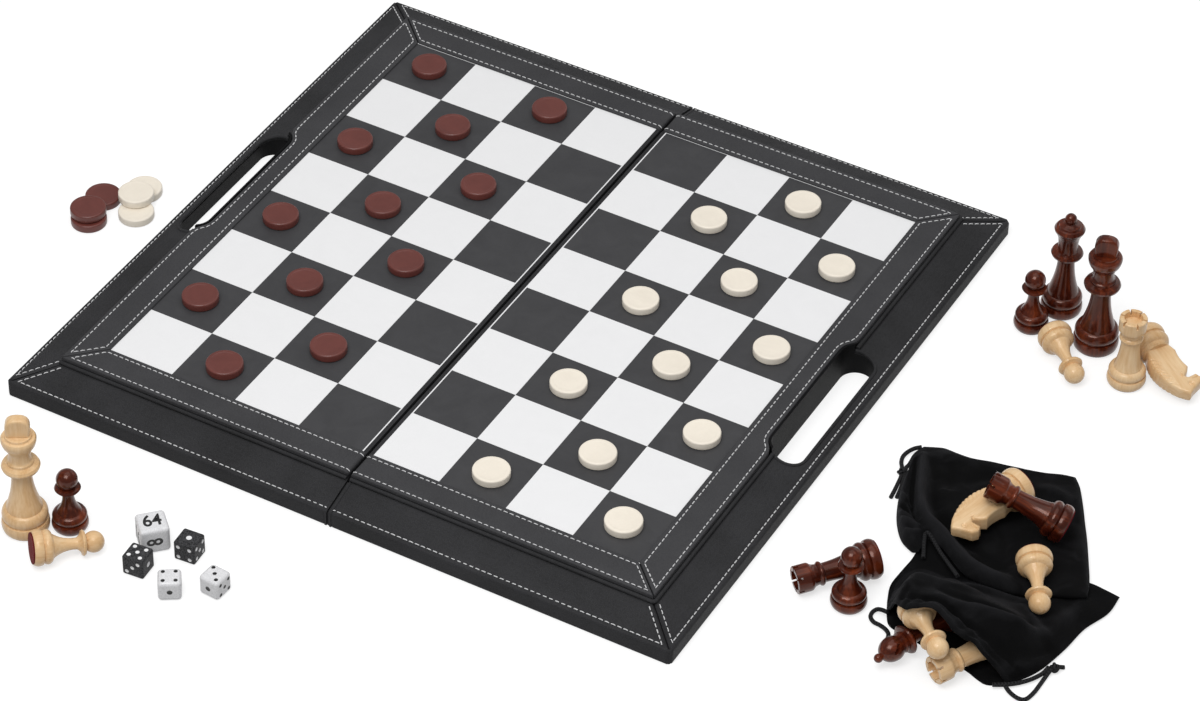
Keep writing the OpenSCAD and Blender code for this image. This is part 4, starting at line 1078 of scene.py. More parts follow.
LINES = {
    "pawn": ((9, 35), (18.6, 36.5), outline(
        foot(9, 4.6, 9.2), bulge((5.9, 9.9), (2.9, 21.6), -1.1), bulge((3.3, 22.1), (6, 23.8), -0.3, 5),
        [(6.4, 24.5), (5.9, 25.3)], ball(29.7, 5.3, -45))),
    "rook": ((10.3, 44), (20.6, 43), outline(
        foot(10.3, 5, 10.2), [(7.3, 11.4)], bulge((6.9, 12), (4.9, 28.8), -0.5),
        bulge((5.5, 29.2), (5.5, 31.6), 0.7, 6),
        [(5.1, 32)], bulge((5.3, 32.4), (7, 36), -0.4, 5),
        [(7.2, 37), (7.2, 40.9), (7.2, 41.2), (7.2, 43.6), (6.8, 44)])),
    "bishop": ((10.8, 54), (21.6, 54), outline(
        foot(10.8, 5.2, 10.8), bulge((7.4, 12.4), (4.1, 30.6), -0.7), bulge((4.6, 31.1), (7.4, 33), -0.2, 5),
        [(7.7, 33.8), (7.2, 34.6), (4.9, 35.4), (5.4, 36), (5.4, 37), (4.5, 37.6)],
        bulge((4.6, 38), (6.3, 42.4), 0.4, 6),
        bulge((6.2, 43.2), (1.8, 49.9), 1.1, 20), ball(51.7, 2.3, -45, 8))),
    "queen": ((11.5, 64), (22.2, 64), outline(
        foot(11.5, 5.6, 11.6), bulge((8.3, 13.4), (4.6, 34.8), -0.9), bulge((5.2, 35.4), (8.4, 37.4), -0.3, 5),
        [(8.8, 38.5), (8.2, 39.6), (5.8, 40.4)], bulge((5.6, 41), (6.2, 50), -0.4, 8),
        bulge((6.6, 50.6), (8.2, 53.6), -0.2, 5),
        [(8.4, 54.6), (7.4, 56), (6.2, 56.2), (5.8, 57), (4, 57.4), (2.6, 58.2)], ball(60.7, 3.3, -40, 10))),
    "king": ((12.4, 72), (24.2, 72), outline(
        foot(12.4, 6.2, 12.8), bulge((9.1, 14.8), (5.2, 36.8), -1), bulge((6, 37.5), (9.5, 39.8), -0.3, 5),
        [(9.9, 41.1), (9.2, 42.4), (6.9, 43.2), (6.8, 44.6), (6, 45.2)], bulge((5.8, 45.8), (6.4, 52), -0.4, 6),
        bulge((6.6, 52.4), (9, 57.6), 0.5, 6), [(9.1, 58.8), (8.5, 59.8), (7, 60), (6.8, 61.2), (0, 61.2)])),
    "knight": ((10.8, 48), (21.6, 48),
               outline(foot(10.8, 5.2, 10.8), [(7.6, 12.4), (7.9, 13.4), (7.2, 14.2), (0, 14.2)])),
}
FINIAL = [(0, 72), (3, 71.6), (5, 70.4), (6.1, 68.4), (6.3, 66), (5.7, 60.6)]
HEAD = outline([(-6.4, 13.4)], bulge((-8.2, 18), (-6, 40), -2.2, 24),
               [(-4, 43.6), (-1.4, 46.6), (0.4, 48), (3.8, 45.6), (9.8, 42.6),
               (11, 39.4), (9.4, 36.6), (4.6, 37.4), (3.4, 36), (6.2, 33.8)],
               bulge((8.2, 31), (8, 18.6), 1, 10), [(6.6, 13.4)])


def fitted(line, drawn, size):
    """An outline in drawn sizes brought to a piece's own base diameter and height, above its felt."""
    line = np.asarray(line, float)
    wide, high = line[:, 0] * size[0] / 2 / drawn[0], line[:, 1] * (size[1] - FELT_T) / drawn[1]
    return np.stack([wide, FELT_T + high], 1)


OUTLINES = {k: fitted(line, drawn, size) for k, (drawn, size, line) in LINES.items()}
CHEEK = np.array([(5.0, 24.0), (3.4, 48.0)])


def lying(x, y, z, az, kind, roll):
    """Place of a piece on its side: it rests on its foot's ring and on its next widest place."""
    line = np.vstack([OUTLINES[kind], CHEEK]) if kind == "knight" else OUTLINES[kind]
    wide = line[:, 0].max()
    ring = line[line[:, 0] > wide - 0.001][0]
    ahead = line[line[:, 1] > ring[1] + 0.3 * wide]
    pitch = -np.degrees(np.arctan((ring[0] - ahead[:, 0]) / (ahead[:, 1] - ring[1]))).min()
    p = math.radians(pitch)
    return (x, y, z + (line[:, 0] * math.cos(p) - line[:, 1] * math.sin(p)).max() + 0.15, az, pitch, roll)


BAG_T, VELVET_T = 8.5, 1.2
PIECES = {
    "natural_king": ("king", [(-128, -266, 0, 0, 90, 32)]),
    "natural_rooks": ("rook", [(296.8, 111.4, 0, 0, 90, 10), lying(328.4, -100, VELVET_T, -120, "rook", 20)]),
    "natural_knights": ("knight",
                        [lying(294, 136.5, 0, -35, "knight", 90), lying(292, -8, BAG_T, -111.5, "knight", 90)]),
    "natural_pawns": ("pawn", [lying(-110.5, -286, 0, 46, "pawn", 0), lying(251.5, 117.5, 0, -43.5, "pawn", 0),
                               lying(317.5, -49, BAG_T, -59, "pawn", 0), (284.5, -115.6, 24.2, -42, -1, 0)]),
    "dark_king": ("king", [(271, 130, 0, 0, 90, 16)]),
    "dark_queen": ("queen", [(243.5, 147, 0, 0, 90, 0)]),
    "dark_bishop": ("bishop", [lying(298.3, -93.8, VELVET_T, -110.7, "bishop", 200)]),
    "dark_rooks": ("rook", [lying(249.5, -82.5, 0, -132, "rook", 15), (323, -22.8, 18, 189.5, 20.5, 10)]),
    "dark_pawns": ("pawn", [(-109.5, -254.5, 0, 0, 90, 0), (235.5, 126.5, 0, 0, 90, 0),
                            (247.5, -108.5, 0, 0, 90, 0)]),
}


def slab_grids(edge, middle, half_thick, round_r, carve):
    """A flat carved shape: rings drawn in from its closed edge line to a middle point. Its half
    thickness is full inside and rounded at the edge, less the carving. Gives both faces."""
    share = np.concatenate([[0], np.linspace(0.12, 0.7, 9), np.linspace(0.76, 1, 12)])
    p = middle + share[:, None, None] * (edge - middle)[None]
    d, _ = line_distance(p, np.vstack([edge, edge[:1]]))
    d[-1] = 0
    full = half_thick(p)
    r = np.minimum(round_r, full)
    t = full - r + np.sqrt(np.clip(r ** 2 - np.clip(r - d, 0, r) ** 2, 0, None)) - carve(p, d)
    t = np.clip(t, 0.05, None)
    top = np.stack([p[..., 0], t, p[..., 1]], -1)
    low = np.stack([p[..., 0], -t, p[..., 1]], -1)
    rim = np.stack([top[-1], low[-1]])
    return [top, low, rim]


def groove(p, a, b, width, depth):
    """A V cut along the segment from a to b: deepest on the line, nothing past the width."""
    d, _ = line_distance(p, np.array([a, b], float))
    return depth * np.clip(1 - d / width, 0, 1)


def knight_grids():
    """The knight: its turned foot, and a head carved from a slab, with a notched mane, a mouth, an
    eye and a cut under the jaw."""
    edge = fitted(HEAD, *LINES["knight"][:2])
    edge = polyline(np.vstack([edge, edge[:1]]), 0.45)[:-1]
    back = (edge[:, 0] < -3) & (edge[:, 1] > 19) & (edge[:, 1] < 41)
    teeth = 0.5 + 0.5 * np.cos(2 * math.pi * edge[:, 1] / 2.6)
    middle = np.array([1.0, 38.0])
    push = np.where(back, 0.25 * teeth ** 3, 0)
    edge = edge + push[:, None] * (middle - edge) / np.linalg.norm(middle - edge, axis=1)[:, None]

    def half_thick(p):
        """Half the head's thickness: full at the neck, thinner towards the ears."""
        return np.interp(p[..., 1], [14, 24, 48], [5.0, 5.0, 3.4])

    def carve(p, d):
        """Depth cut away: the mane, the mouth, the cut under the jaw and the ring round the eye."""
        cut = np.zeros(p.shape[:2])
        for k in range(8):
            z = 20.3 + 2.6 * k
            x = -np.interp(z, [18, 29, 40], [8.2, 9.8, 6.2])
            cut = np.maximum(cut, groove(p, (x, z), (x + 3.6, z + 2.2), 0.6, 0.5))
        cut = np.maximum(cut, groove(p, (10.6, 38.9), (6.4, 39.6), 0.45, 0.8))
        cut = np.maximum(cut, groove(p, (3.2, 36.2), (0.2, 34.0), 0.8, 0.9))
        eye = np.hypot(p[..., 0] - 3.6, p[..., 1] - 42.2)
        cut = np.maximum(cut, 0.7 * np.exp(-((eye - 1.0) / 0.45) ** 2))
        return cut

    return slab_grids(edge, middle, half_thick, 1.6, carve)


def piece_grids(kind, turns):
    """All grids of one chess piece standing at the origin."""
    line = polyline(OUTLINES[kind], 1.4)
    if kind == "rook":
        cuts = np.radians(np.arange(6) * 60.0)
        w = 0.6 / 7.2
        near = np.concatenate([[c - w - 0.012, c - w, c + w, c + w + 0.012] for c in cuts]) % (2 * math.pi)
        turns = np.unique(np.round(np.concatenate([turns, near]), 4))
        well = np.array([(4.84, 43.0), (4.84, 41.0), (4.84, 40.4), (4.84, 39.5), (4.0, 39.4), (0, 39.4)])
        line = np.vstack([line, well])
        grid = revolve_grid(line, turns)
        gap = np.abs((turns[:, None] - cuts + math.pi) % (2 * math.pi) - math.pi).min(1)
        low = np.where(gap <= w + 1e-3, 40.4, 99.0)
        grid[..., 2] = np.minimum(grid[..., 2], low[None])
        return [grid]
    grid = revolve_grid(line, turns)
    if kind == "bishop":
        a = math.radians(50)
        plane = (grid[..., 2] - 43.2) * math.cos(a) + grid[..., 0] * math.sin(a) - 1.5
        cut = np.clip(1 - (np.abs(plane) / 0.55) ** 4, 0, 1) * (grid[..., 0] > 0.4) * (grid[..., 2] > 41)
        grid[..., :2] *= (1 - 0.4 * cut)[..., None]
    if kind == "king":
        half = fitted(FINIAL, *LINES["king"][:2])
        edge = np.vstack([half, (half[1:] * [-1, 1])[::-1]])
        edge = polyline(np.vstack([edge, edge[:1]]), 0.5)[:-1]
        for _ in range(3):
            edge = 0.25 * np.roll(edge, 1, 0) + 0.5 * edge + 0.25 * np.roll(edge, -1, 0)
        slab = slab_grids(edge, np.array([0.0, 66.0]), lambda p: np.full(p.shape[:2], 3.02), 1.3,
                          lambda p, d: 0 * d)
        return [grid] + slab
    if kind == "knight":
        return [grid] + knight_grids()
    return [grid]


class GAMES_OT_chess(bpy.types.Operator):
    """Turned chess pieces in pale and dark wood, standing and lying"""

    bl_idname = "games.chess"
    bl_label = "Chess pieces"

    def execute(self, context):
        turns = even_turns(context.scene.games_look.wood_turns)
        serial = 0
        for node, (kind, places) in PIECES.items():
            sheets = Sheets()
            for place in places:
                serial += 1
                for grid in piece_grids(kind, turns):
                    shift = np.array([0.013 * serial, 0.021 * serial, 0.05 * serial])
                    sheets.add(placed(grid.reshape(-1, 3), place).reshape(grid.shape), close_v=True,
                               grain=grid * 0.001 + shift)
            obj = sheets.make(node + "_turned", 38)
            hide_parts(node)
            pale = node.startswith("natural")
            dress(obj, "pale_wood" if pale else "dark_wood",
                  "left_half")
        return {"FINISHED"}


# ---- bags and drawstrings ----


def spline(points, n):
    """A smooth curve through the points (each span is a Catmull-Rom cubic), as n evenly spread points."""
    p = np.asarray(points, float)
    q = np.vstack([2 * p[0] - p[1], p, 2 * p[-1] - p[-2]])
    t = np.linspace(0, 1, 16, endpoint=False)[:, None]
    runs = [0.5 * (2 * q[i + 1] + (q[i + 2] - q[i]) * t
                   + (2 * q[i] - 5 * q[i + 1] + 4 * q[i + 2] - q[i + 3]) * t ** 2
                   + (3 * q[i + 1] - q[i] - 3 * q[i + 2] + q[i + 3]) * t ** 3) for i in range(len(p) - 1)]
    return resample(np.vstack(runs + [p[-1:]]), n)


def coons(front, back, left, right, u, v):
    """Patch between four boundary curves: the two ruled surfaces between opposite curves added, less
    the bilinear patch of the corners. front and back run left to right, left and right front to back."""
    f, k = (at_length(c, u * arc_length(c)[-1])[:, None] for c in (front, back))
    a, b = (at_length(c, v * arc_length(c)[-1])[None] for c in (left, right))
    u, v = u[:, None, None], v[None, :, None]
    corners = (1 - u) * (1 - v) * front[0] + u * (1 - v) * front[-1] + (1 - u) * v * back[0] + u * v * back[-1]
    return (1 - v) * f + v * k + (1 - u) * a + u * b - corners


def stretched(knots, soft=0.0):
    """Height of a thin stretched sheet pinned at knots [x, y, z]: a sum of r^2 log r about each knot
    and a plane. soft above 0 lets it miss the knots a little, and so lie smoother."""
    k = np.asarray(knots, float)

    def kernel(p):
        """r^2 log r, where r is a point's distance in centimetres to each knot."""
        r2 = ((p[..., None, :] - k[:, :2]) ** 2).sum(-1) / 100
        return r2 * np.log(r2 + 1e-9) * 0.5

    n = len(k)
    m = np.zeros((n + 3, n + 3))
    m[:n, :n] = kernel(k[:, :2]) + soft * np.eye(n)
    m[:n, n:] = np.column_stack([np.ones(n), k[:, :2]])
    m[n:, :n] = m[:n, n:].T
    w = np.linalg.solve(m, np.concatenate([k[:, 2], np.zeros(3)]))
    return lambda p: kernel(p) @ w[:n] + w[n] + p @ w[n + 1:]


def fold(p, points, high, wide):
    """A ridge (high above 0) or a valley (below 0) along a curve: a bell of the distance from it,
    fading out towards the curve's two ends."""
    line = spline(points, 60)
    d, along = line_distance(p, line)
    t = along / arc_length(line)[-1]
    return high * np.exp(-(d / wide) ** 2) * np.clip(np.sin(math.pi * np.clip(t, 0.001, 0.999)), 0, 1) ** 0.4


def lean_in(n):
    """n values from 0 to 1, closer together at both ends."""
    return 0.5 - 0.5 * np.cos(np.linspace(0, math.pi, n))


# Lower bag: outline of its back, left and right edges, its lips, and heights of its upper layer
HEEL = [(257, -49), (268, -46.5), (285, -44.5), (300, -42.5), (322, -39.5), (343.4, -37), (353, -37.6),
        (360.7, -38.7)]
LEFT_SIDE = [(266.6, -105.4), (263, -97), (260.3, -88), (260.6, -76), (261.2, -66), (260, -57), (257, -49)]
RIGHT_SIDE = [(337.5, -120.8), (342.5, -115), (346.7, -108), (349.6, -99.8), (352.9, -84), (355.1, -67.5),
              (360.5, -52), (360.7, -38.7)]
UPPER_LIP = [(266.6, -105.4), (272, -113), (279, -123.5), (287, -130), (295, -127.4), (302.8, -127),
             (309.8, -128.4), (315.6, -128.2),
             (322.9, -125.5), (328.6, -123), (332, -122.2), (337.5, -120.8)]
LOWER_LIP = [(266.6, -105.4), (271.4, -112.4), (279.5, -114.8), (288.3, -116.2), (303.9, -118.9),
             (317.6, -121.6), (324.1, -124), (330, -125), (337.5, -120.8)]
BAG_KNOTS = [
    (266.6, -105.4, 3), (272, -113, 13), (275.5, -118.5, 22), (279, -123.5, 27.5), (287, -130, 34),
    (295, -127.4, 36), (302.8, -127, 36), (309.8, -128.4, 31.5),
    (315.6, -128.2, 28), (322.9, -125.5, 23.5), (328.6, -123, 15), (332, -122.2, 10), (337.5, -120.8, 3),
    (270, -106, 10), (274, -112, 23), (278.5, -117, 31.5), (284.5, -115.6, 35.4), (292, -112, 35.2),
    (300, -113, 34.5), (309, -113, 31), (318, -112, 27), (327, -110, 23.5),
    (334, -109, 17.5), (341, -112.5, 6), (344, -107, 5.5), (267, -98, 6), (272, -100, 18), (278, -102, 28),
    (285, -101, 30.5), (296, -97.5, 28.5), (306, -97, 26), (318, -97, 24.5),
    (328, -98, 24), (334, -98, 21.5), (340, -98, 13.5), (346, -98, 6), (264, -88, 3.5), (271, -90, 8),
    (282, -90, 16), (294, -90.5, 24.6), (304, -89.5, 21.5), (316, -88, 17.5),
    (328, -88, 16), (338, -87, 10.5), (349, -85, 5), (266, -76, 3), (275, -77, 6), (287, -78, 9), (300, -78, 9),
    (315, -76, 8.5), (330, -75, 8.5), (343, -74, 7), (352, -70, 4),
    (266, -66, 2.2), (280, -65, 2.6), (300, -62, 3), (320, -58, 3.2), (340, -51, 3.4), (355, -46, 3.5),
    (340, -64, 5.5), (352, -58, 5), (320, -67, 5), (300, -69, 5.4), (282, -71, 4.6), (259, -52, 2.3),
    (275, -50, 2.5), (300, -48, 2.8), (322, -43, 2.8)]
LIP_FOLDS = [
    ([(278, -121), (287, -122), (294, -121), (299.5, -119.5), (307.5, -119), (315, -118.5), (323, -116.5),
      (331, -113.5), (338, -112.5)], -1.8, 1.7),
    ([(294.5, -117), (303, -115), (309.5, -111), (314.5, -106.5), (325.5, -103), (336, -97), (342, -86.5)], 2.4,
     2.4),
    ([(292, -110), (300, -108.5), (306, -104.5), (312, -101.5), (319, -99.5), (331, -94), (336, -85)], -2.0,
     2.4),
    ([(332.5, -112.5), (338.5, -106.5), (344, -98.5), (347.5, -88.5)], -1.8, 3.2),
    ([(338, -115), (343, -110), (346.5, -102), (349, -94)], 1.4, 2.0),
    ([(264.5, -92.5), (272, -99), (281, -104), (290, -103), (300, -97), (310, -88)], 1.6, 3.0),
    ([(322.5, -73.5), (329.2, -80.3), (338, -85.5), (346, -88)], 1.6, 3.0),
    ([(347.5, -48.9), (346.7, -59.8), (344.2, -75), (342.4, -88)], 1.5, 3.0),
    ([(286, -76), (300, -72), (316, -70), (334, -68)], 1.2, 3.0),
    ([(268, -90), (274, -84), (284, -80)], -1.2, 2.4),
    # This wide valley also paints the velvet darker there, as the shade beside the hem cord.
    ([(260, -60), (270, -65), (280, -69), (292, -75)], -1.6, 6.0)]

CREST = 4.0  # rise of a fold, in millimetres, at which the velvet is painted palest as highlight; its valleys are painted darker as shade

# Upper bag: its four edges, heights of its upper layer and its folds
NEAR_EDGE = [(263, -63), (262.5, -58), (261.2, -53.5), (262.8, -51.6), (267, -53.5), (273.5, -57), (280, -61.5),
             (285.5, -65.5), (292, -68.5), (300, -69.5), (311, -69), (320, -67), (330, -61.4), (340, -57),
             (349, -52.5)]
FAR_EDGE = [(230, 9.6), (236, 12.2), (241, 13.6), (249, 12.8), (256.7, 12.5), (266, 15.2), (275, 16.8),
            (283.4, 18.9), (292, 21.6), (300, 25.5), (307, 27.4)]
MOUTH_EDGE = [(263, -63), (257, -61), (250.5, -57), (244, -48.5), (239, -38.5), (235, -27), (232, -14),
              (229.5, -2), (229, 5), (230, 9.6)]
CLOSED_EDGE = [(349, -52.5), (344.3, -38.5), (337.5, -24.5), (330.5, -10.9), (324.5, -0.2), (319, 9.8),
               (312, 21.5), (307, 27.4)]
PILLOW_KNOTS = [
    (234, 5, 5.5), (250, 5, 7), (270, 8, 7.6), (290, 13, 7.8), (303, 20, 6.6), (244, -12, 7.4), (262, -12, 7.8),
    (280, -8, 8.45), (292, -8, 8.45), (306, -6, 8.5), (318, 0, 7.4),
    (252, -30, 8), (270, -30, 8.4), (285, -28, 8.5), (300, -28, 8.4), (318, -26, 8.5), (332, -24, 7.6),
    (275, -45, 8.6), (292, -46, 8.8), (310, -48, 8.8), (326, -48, 8.7), (340, -45, 8.2),
    (300, -57, 9.6), (320, -58, 9.6), (337, -52, 8.8), (238, -28, 7.5), (244, -40, 8.5), (252, -50, 8.5),
    (259, -57, 6.5), (236, -12, 6.6), (234, -2, 6)]
PILLOW_FOLDS = [
    ([(232.5, 3), (235.5, -3), (243.5, -21.5), (251, -36), (258, -43.5), (266, -48), (275, -53), (284, -59),
      (292, -63), (303, -64.5), (314, -63.5)], 6.2, 2.8),
    ([(231, -1), (235, -10.5), (240, -23), (247, -37), (254, -46)], -7.5, 2.2),
    ([(238, 2), (248, -14), (256, -30), (262, -37.5), (271, -42.5), (283, -49), (294, -56), (310, -58)], -3.6,
     3.2),
    ([(229.5, -3), (235.5, -29), (240.5, -41), (245.5, -50), (251.5, -56), (258.5, -59)], 3.6, 2.2),
    ([(240.5, -40.5), (246, -42.5), (251, -44)], -2.4, 1.4),
    ([(245.5, -50), (251.5, -50), (257, -50)], 3.2, 1.6),
    ([(242, -45.5), (248, -46.5), (253, -46.5)], 2.2, 1.2),
    ([(250.5, -57), (255, -55), (258.5, -51.5)], 2.4, 1.5), ([(237, -32), (242, -34), (246, -34.5)], 2.0, 1.3),
    ([(247.5, 1.5), (253, -6), (257, -18)], -2.2, 4.5),
    ([(247, -12.5), (253.5, -20), (258.5, -30.5)], 1.4, 3.5),
    ([(236.3, 4.8), (252.3, 6.3), (269.5, 9.2), (284, 13)], 1.4, 4.0),
    ([(294.5, 4), (301.5, 8.5), (314.5, 6.5)], 1.4, 3.5), ([(322, -8), (328, -20), (334, -34)], 1.2, 3.0),
    ([(262, -10), (268, -1), (279, 6)], -1.6, 4.0)]
# Cords: two free ends of the upper bag, two of the lower one, and the stretches seen in the hems
UPPER_ROUTE = [(229.8, 8.2, 3.6), (226.5, 6.4, 2.4), (224.4, 3.4, 1.5), (223.8, -0.8, 1.3), (225, -5, 1.3),
               (227.2, -8.8, 1.9), (229.2, -13, 1.3), (230.6, -20.5, 1.3), (231.4, -26, 1.3), (232, -31, 1.3)]
SECOND_ROUTE = [(230.4, 6, 3.2), (229, 2.2, 2.2), (229, -1.6, 1.4), (229.2, -5.2, 1.3), (229.4, -8.8, 2.4),
                (231.2, -13.5, 1.5), (232.8, -20, 1.3), (233.8, -25, 1.3), (234.6, -29.5, 1.3)]
LEFT_ROUTE = [(268.4, -108.4, 4.4), (265, -107.4, 3.4), (262.2, -107, 2.0), (260.9, -109.2, 1.3),
              (261.6, -112.6, 1.3), (264.4, -114.9, 1.3), (268, -115.4, 1.3), (271.6, -116.6, 1.4),
              (274.2, -118.6, 1.3), (275.4, -121.6, 1.3)]
RIGHT_ROUTE = [(337.2, -121.6, 2.2), (341.6, -124.6, 1.4), (346.9, -126.4, 1.3), (350.4, -125.2, 1.3),
               (351.9, -119.5, 1.3), (352.2, -112.8, 1.3), (352.3, -107, 1.4), (353, -102.4, 2.6),
               (354.6, -98.8, 2.2), (357.4, -96.4, 1.4)]
CHANNEL_ROUTE = [(260.5, -49.5, 6.6), (263, -50.9, 6.6), (266, -52.8, 5.8), (269.5, -55.6, 5.2),
                 (273, -58.4, 4.8), (277, -61.4, 4.8), (281, -64.8, 5.4), (285, -68.6, 6.8),
                 (288.5, -72.4, 8.4)]
CHANNEL_END = [(259.5, -49.5, 6.0), (261.4, -53.2, 5.6), (262.9, -57, 5.4), (264.8, -61, 4.2),
               (266.6, -65, 4.0)]
LIP_ROUTE = [(333, -125.4, 2.4), (337.6, -122.4, 2.2), (342.4, -118.2, 1.9), (347, -112.6, 1.9),
             (350.2, -106.4, 2.0), (351.2, -101, 2.2)]


def quarter(x):
    """Height of a quarter circle at a share x of its width: 0 at 0, and 1 from 1 on."""
    return np.sqrt(1 - (1 - np.clip(x, 0, 1)) ** 2)


def lower_bag_grid(quick):
    """Rings round the open bag, from its mouth back to its closed end: over the upper layer from left
    to right, and back along the table under the lower layer."""
    nu, nv, nb = (60, 44, 20) if quick else (150, 96, 44)
    u, v = lean_in(nu), np.linspace(0, 1, nv) ** 1.15
    left, right, heel = spline(LEFT_SIDE, 90), spline(RIGHT_SIDE, 90), spline(HEEL, 90)
    top = coons(spline(UPPER_LIP, 120), heel, left, right, u, v)
    height = stretched(BAG_KNOTS, 0.002)(top)
    folds = 1.3 * sum(fold(top, *spec) for spec in LIP_FOLDS)
    rim = arc_length(top[nu // 2])[None]
    folds = folds + 1.1 * np.exp(-((rim - 2.0) / 1.6) ** 2) - 1.1 * np.exp(-((rim - 9.0) / 1.2) ** 2)
    lip = arc_length(top[:, 0])[:, None]
    folds = folds + 0.7 * np.sin(lip * 0.75 + 1.6 * np.sin(lip * 0.21)) * np.exp(-((rim - 6.0) / 6.0) ** 2)
    folds = folds + 0.4 * wave_noise(top[..., 0], top[..., 1], height, 34.0, 8)
    height = height + folds
    edge = np.minimum(u, 1 - u)[:, None]
    height = 2.2 + (height - 2.2) * quarter(edge / 0.035)
    back = quarter((1 - v) / 0.05)[None]
    height = 1.6 + (np.maximum(height, 2.2) - 1.6) * back
    w = lean_in(nb + 2)[1:-1][::-1]
    low = coons(spline(LOWER_LIP, 120), heel, left, right, w, v)
    side = np.minimum(w, 1 - w)[:, None]
    low_z = 0.15 + 1.4 * (1 - quarter(side / 0.03)) + 0 * v[None]
    ring = np.concatenate([np.dstack([top, height]), np.dstack([low, low_z])], 0)
    crest = np.concatenate([folds / CREST, 0 * low_z], 0)
    return ring.transpose(1, 0, 2), crest.T


def upper_bag_grids(quick):
    """The closed bag: an upper layer whose height is a stretched sheet with folds, rounded down at
    the seams, and a lower layer that lies on the table and over the other bag's closed end."""
    nu, nv = (70, 60) if quick else (170, 130)
    u, v = lean_in(nu), lean_in(nv)
    curves = [spline(c, 110) for c in (NEAR_EDGE, FAR_EDGE, MOUTH_EDGE, CLOSED_EDGE)]
    p = coons(*curves, u, v)
    edge = np.vstack([curves[0], curves[3], curves[1][::-1], curves[2][::-1]])
    d, _ = line_distance(p, edge)
    high = stretched(PILLOW_KNOTS, 0.002)(p)
    folds = sum(fold(p, *spec) for spec in PILLOW_FOLDS)
    high = high + folds
    on_top = smoothstep(d, 2, 9)
    from_knight = np.hypot(p[..., 0] - 298, p[..., 1] + 16)
    ripple = 0.45 * wave_noise(p[..., 0], p[..., 1], 0 * high, 26.0, 5)
    high = high + ripple * on_top * smoothstep(from_knight, 26, 44)
    heel = np.interp(p[..., 0], [c[0] for c in HEEL], [c[1] for c in HEEL])
    over_heel = smoothstep(heel - p[..., 1], -1, 11) * smoothstep(p[..., 0], 258, 266)
    low = 0.3 + 5.0 * over_heel
    mid = low + 1.6
    top_z = mid + (np.maximum(high, low + 2.4) - mid) * quarter(d / 4.5)
    low_z = mid + (low - mid) * quarter(d / 1.6)
    return (np.dstack([p, top_z]), folds / CREST), (np.dstack([p, low_z]), 0 * folds)


def knot_line(centre, along, size):
    """A simple knot in a cord: a closed coil that winds round the cord's line, on itself, twice."""
    t = np.linspace(0, 2 * math.pi, 70)
    a = np.asarray(along, float) / np.linalg.norm(along)
    b = np.cross(a, [0, 0, 1.0])
    b /= np.linalg.norm(b)
    c = np.cross(b, a)
    wide = size + 0.35 * size * np.cos(3 * t)
    ring = (np.cos(2 * t) * wide)[:, None] * b + (np.sin(2 * t) * wide)[:, None] * c
    return np.asarray(centre, float) + ring + (0.8 * size * np.sin(3 * t))[:, None] * a


class GAMES_OT_bags(bpy.types.Operator):
    """Two velvet drawstring bags: one lies closed and flat, one open with pieces in its mouth"""

    bl_idname = "games.bags"
    bl_label = "Velvet bags"

    def execute(self, context):
        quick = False
        ring, crest = lower_bag_grid(quick)
        sheets = Sheets()
        sheets.add(ring, close_v=True, crest=crest)
        lower = sheets.make("lower_bag_velvet", 80, merge=0.02)
        top = max(lower.data.polygons, key=lambda f: f.center.z)
        if top.normal.z < 0:
            lower.data.flip_normals()
        solid = lower.modifiers.new("cloth", "SOLIDIFY")
        solid.thickness, solid.offset, solid.use_even_offset = 0.001, -1.0, False
        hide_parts("lower_bag")
        dress(lower, "black_velvet", "left_half")
        sheets = Sheets()
        for grid, crest in upper_bag_grids(quick):
            sheets.add(grid, crest=crest)
        upper = sheets.make("upper_bag_velvet", 80, merge=0.02)
        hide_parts("upper_bag")
        dress(upper, "black_velvet", "left_half")
        return {"FINISHED"}


class GAMES_OT_drawstrings(bpy.types.Operator):
    """Braided drawstrings: four free ends, two of them knotted, and three stretches seen in the hems"""

    bl_idname = "games.drawstrings"
    bl_label = "Drawstrings"

    def execute(self, context):
        look = context.scene.games_look
        radius = look.cord_mm / 2

        def braid(name, route, count):
            """A cord along its route. Its UV map has centimetres along it and one turn round it."""
            path = spline(route, count)
            grid = tube_grid(path, radius, 14)
            s = np.concatenate([[0], arc_length(path), [arc_length(path)[-1]]]) / 10
            uv = np.stack(np.meshgrid(s, np.linspace(0, 1, 14), indexing="ij"), -1)
            sheets = Sheets()
            sheets.add(grid, close_v=True, uv=uv)
            obj = sheets.make(name, 80, merge=0.01)
            dress(obj, "drawstring_braid", "left_half")
            return obj, path

        for name, route, node, end, knot in (
                ("upper_bag_drawstring", UPPER_ROUTE, "upper_bag_cord", "bare", 5),
                ("upper_bag_second_drawstring", SECOND_ROUTE, None, "bare", None),
                ("lower_bag_left_drawstring", LEFT_ROUTE, "lower_bag_left_cord", "object", None),
                ("lower_bag_right_drawstring", RIGHT_ROUTE, "lower_bag_right_cord", "bare", 8)):
            obj, path = braid(name, route, 90)
            if node:
                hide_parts(node)
            if knot is not None:
                k = int(round(knot / (len(route) - 1) * (len(path) - 1)))
                coil = knot_line(path[k], path[k + 2] - path[k - 2], radius * 1.25)
                coil[:, 2] = np.maximum(coil[:, 2], radius * 0.8)
                sheets = Sheets()
                sheets.add(tube_grid(coil, radius * 0.8, 10), close_v=True)
                dress(sheets.make(name + "_knot", 80), "drawstring_braid",
                                    "left_half")
        for name, route in (("upper_bag_hem_cord", CHANNEL_ROUTE), ("upper_bag_hem_cord_end", CHANNEL_END),
                            ("lower_bag_hem_cord", LIP_ROUTE)):
            braid(name, route, 50)
        return {"FINISHED"}


# ---- floor, light and camera ----

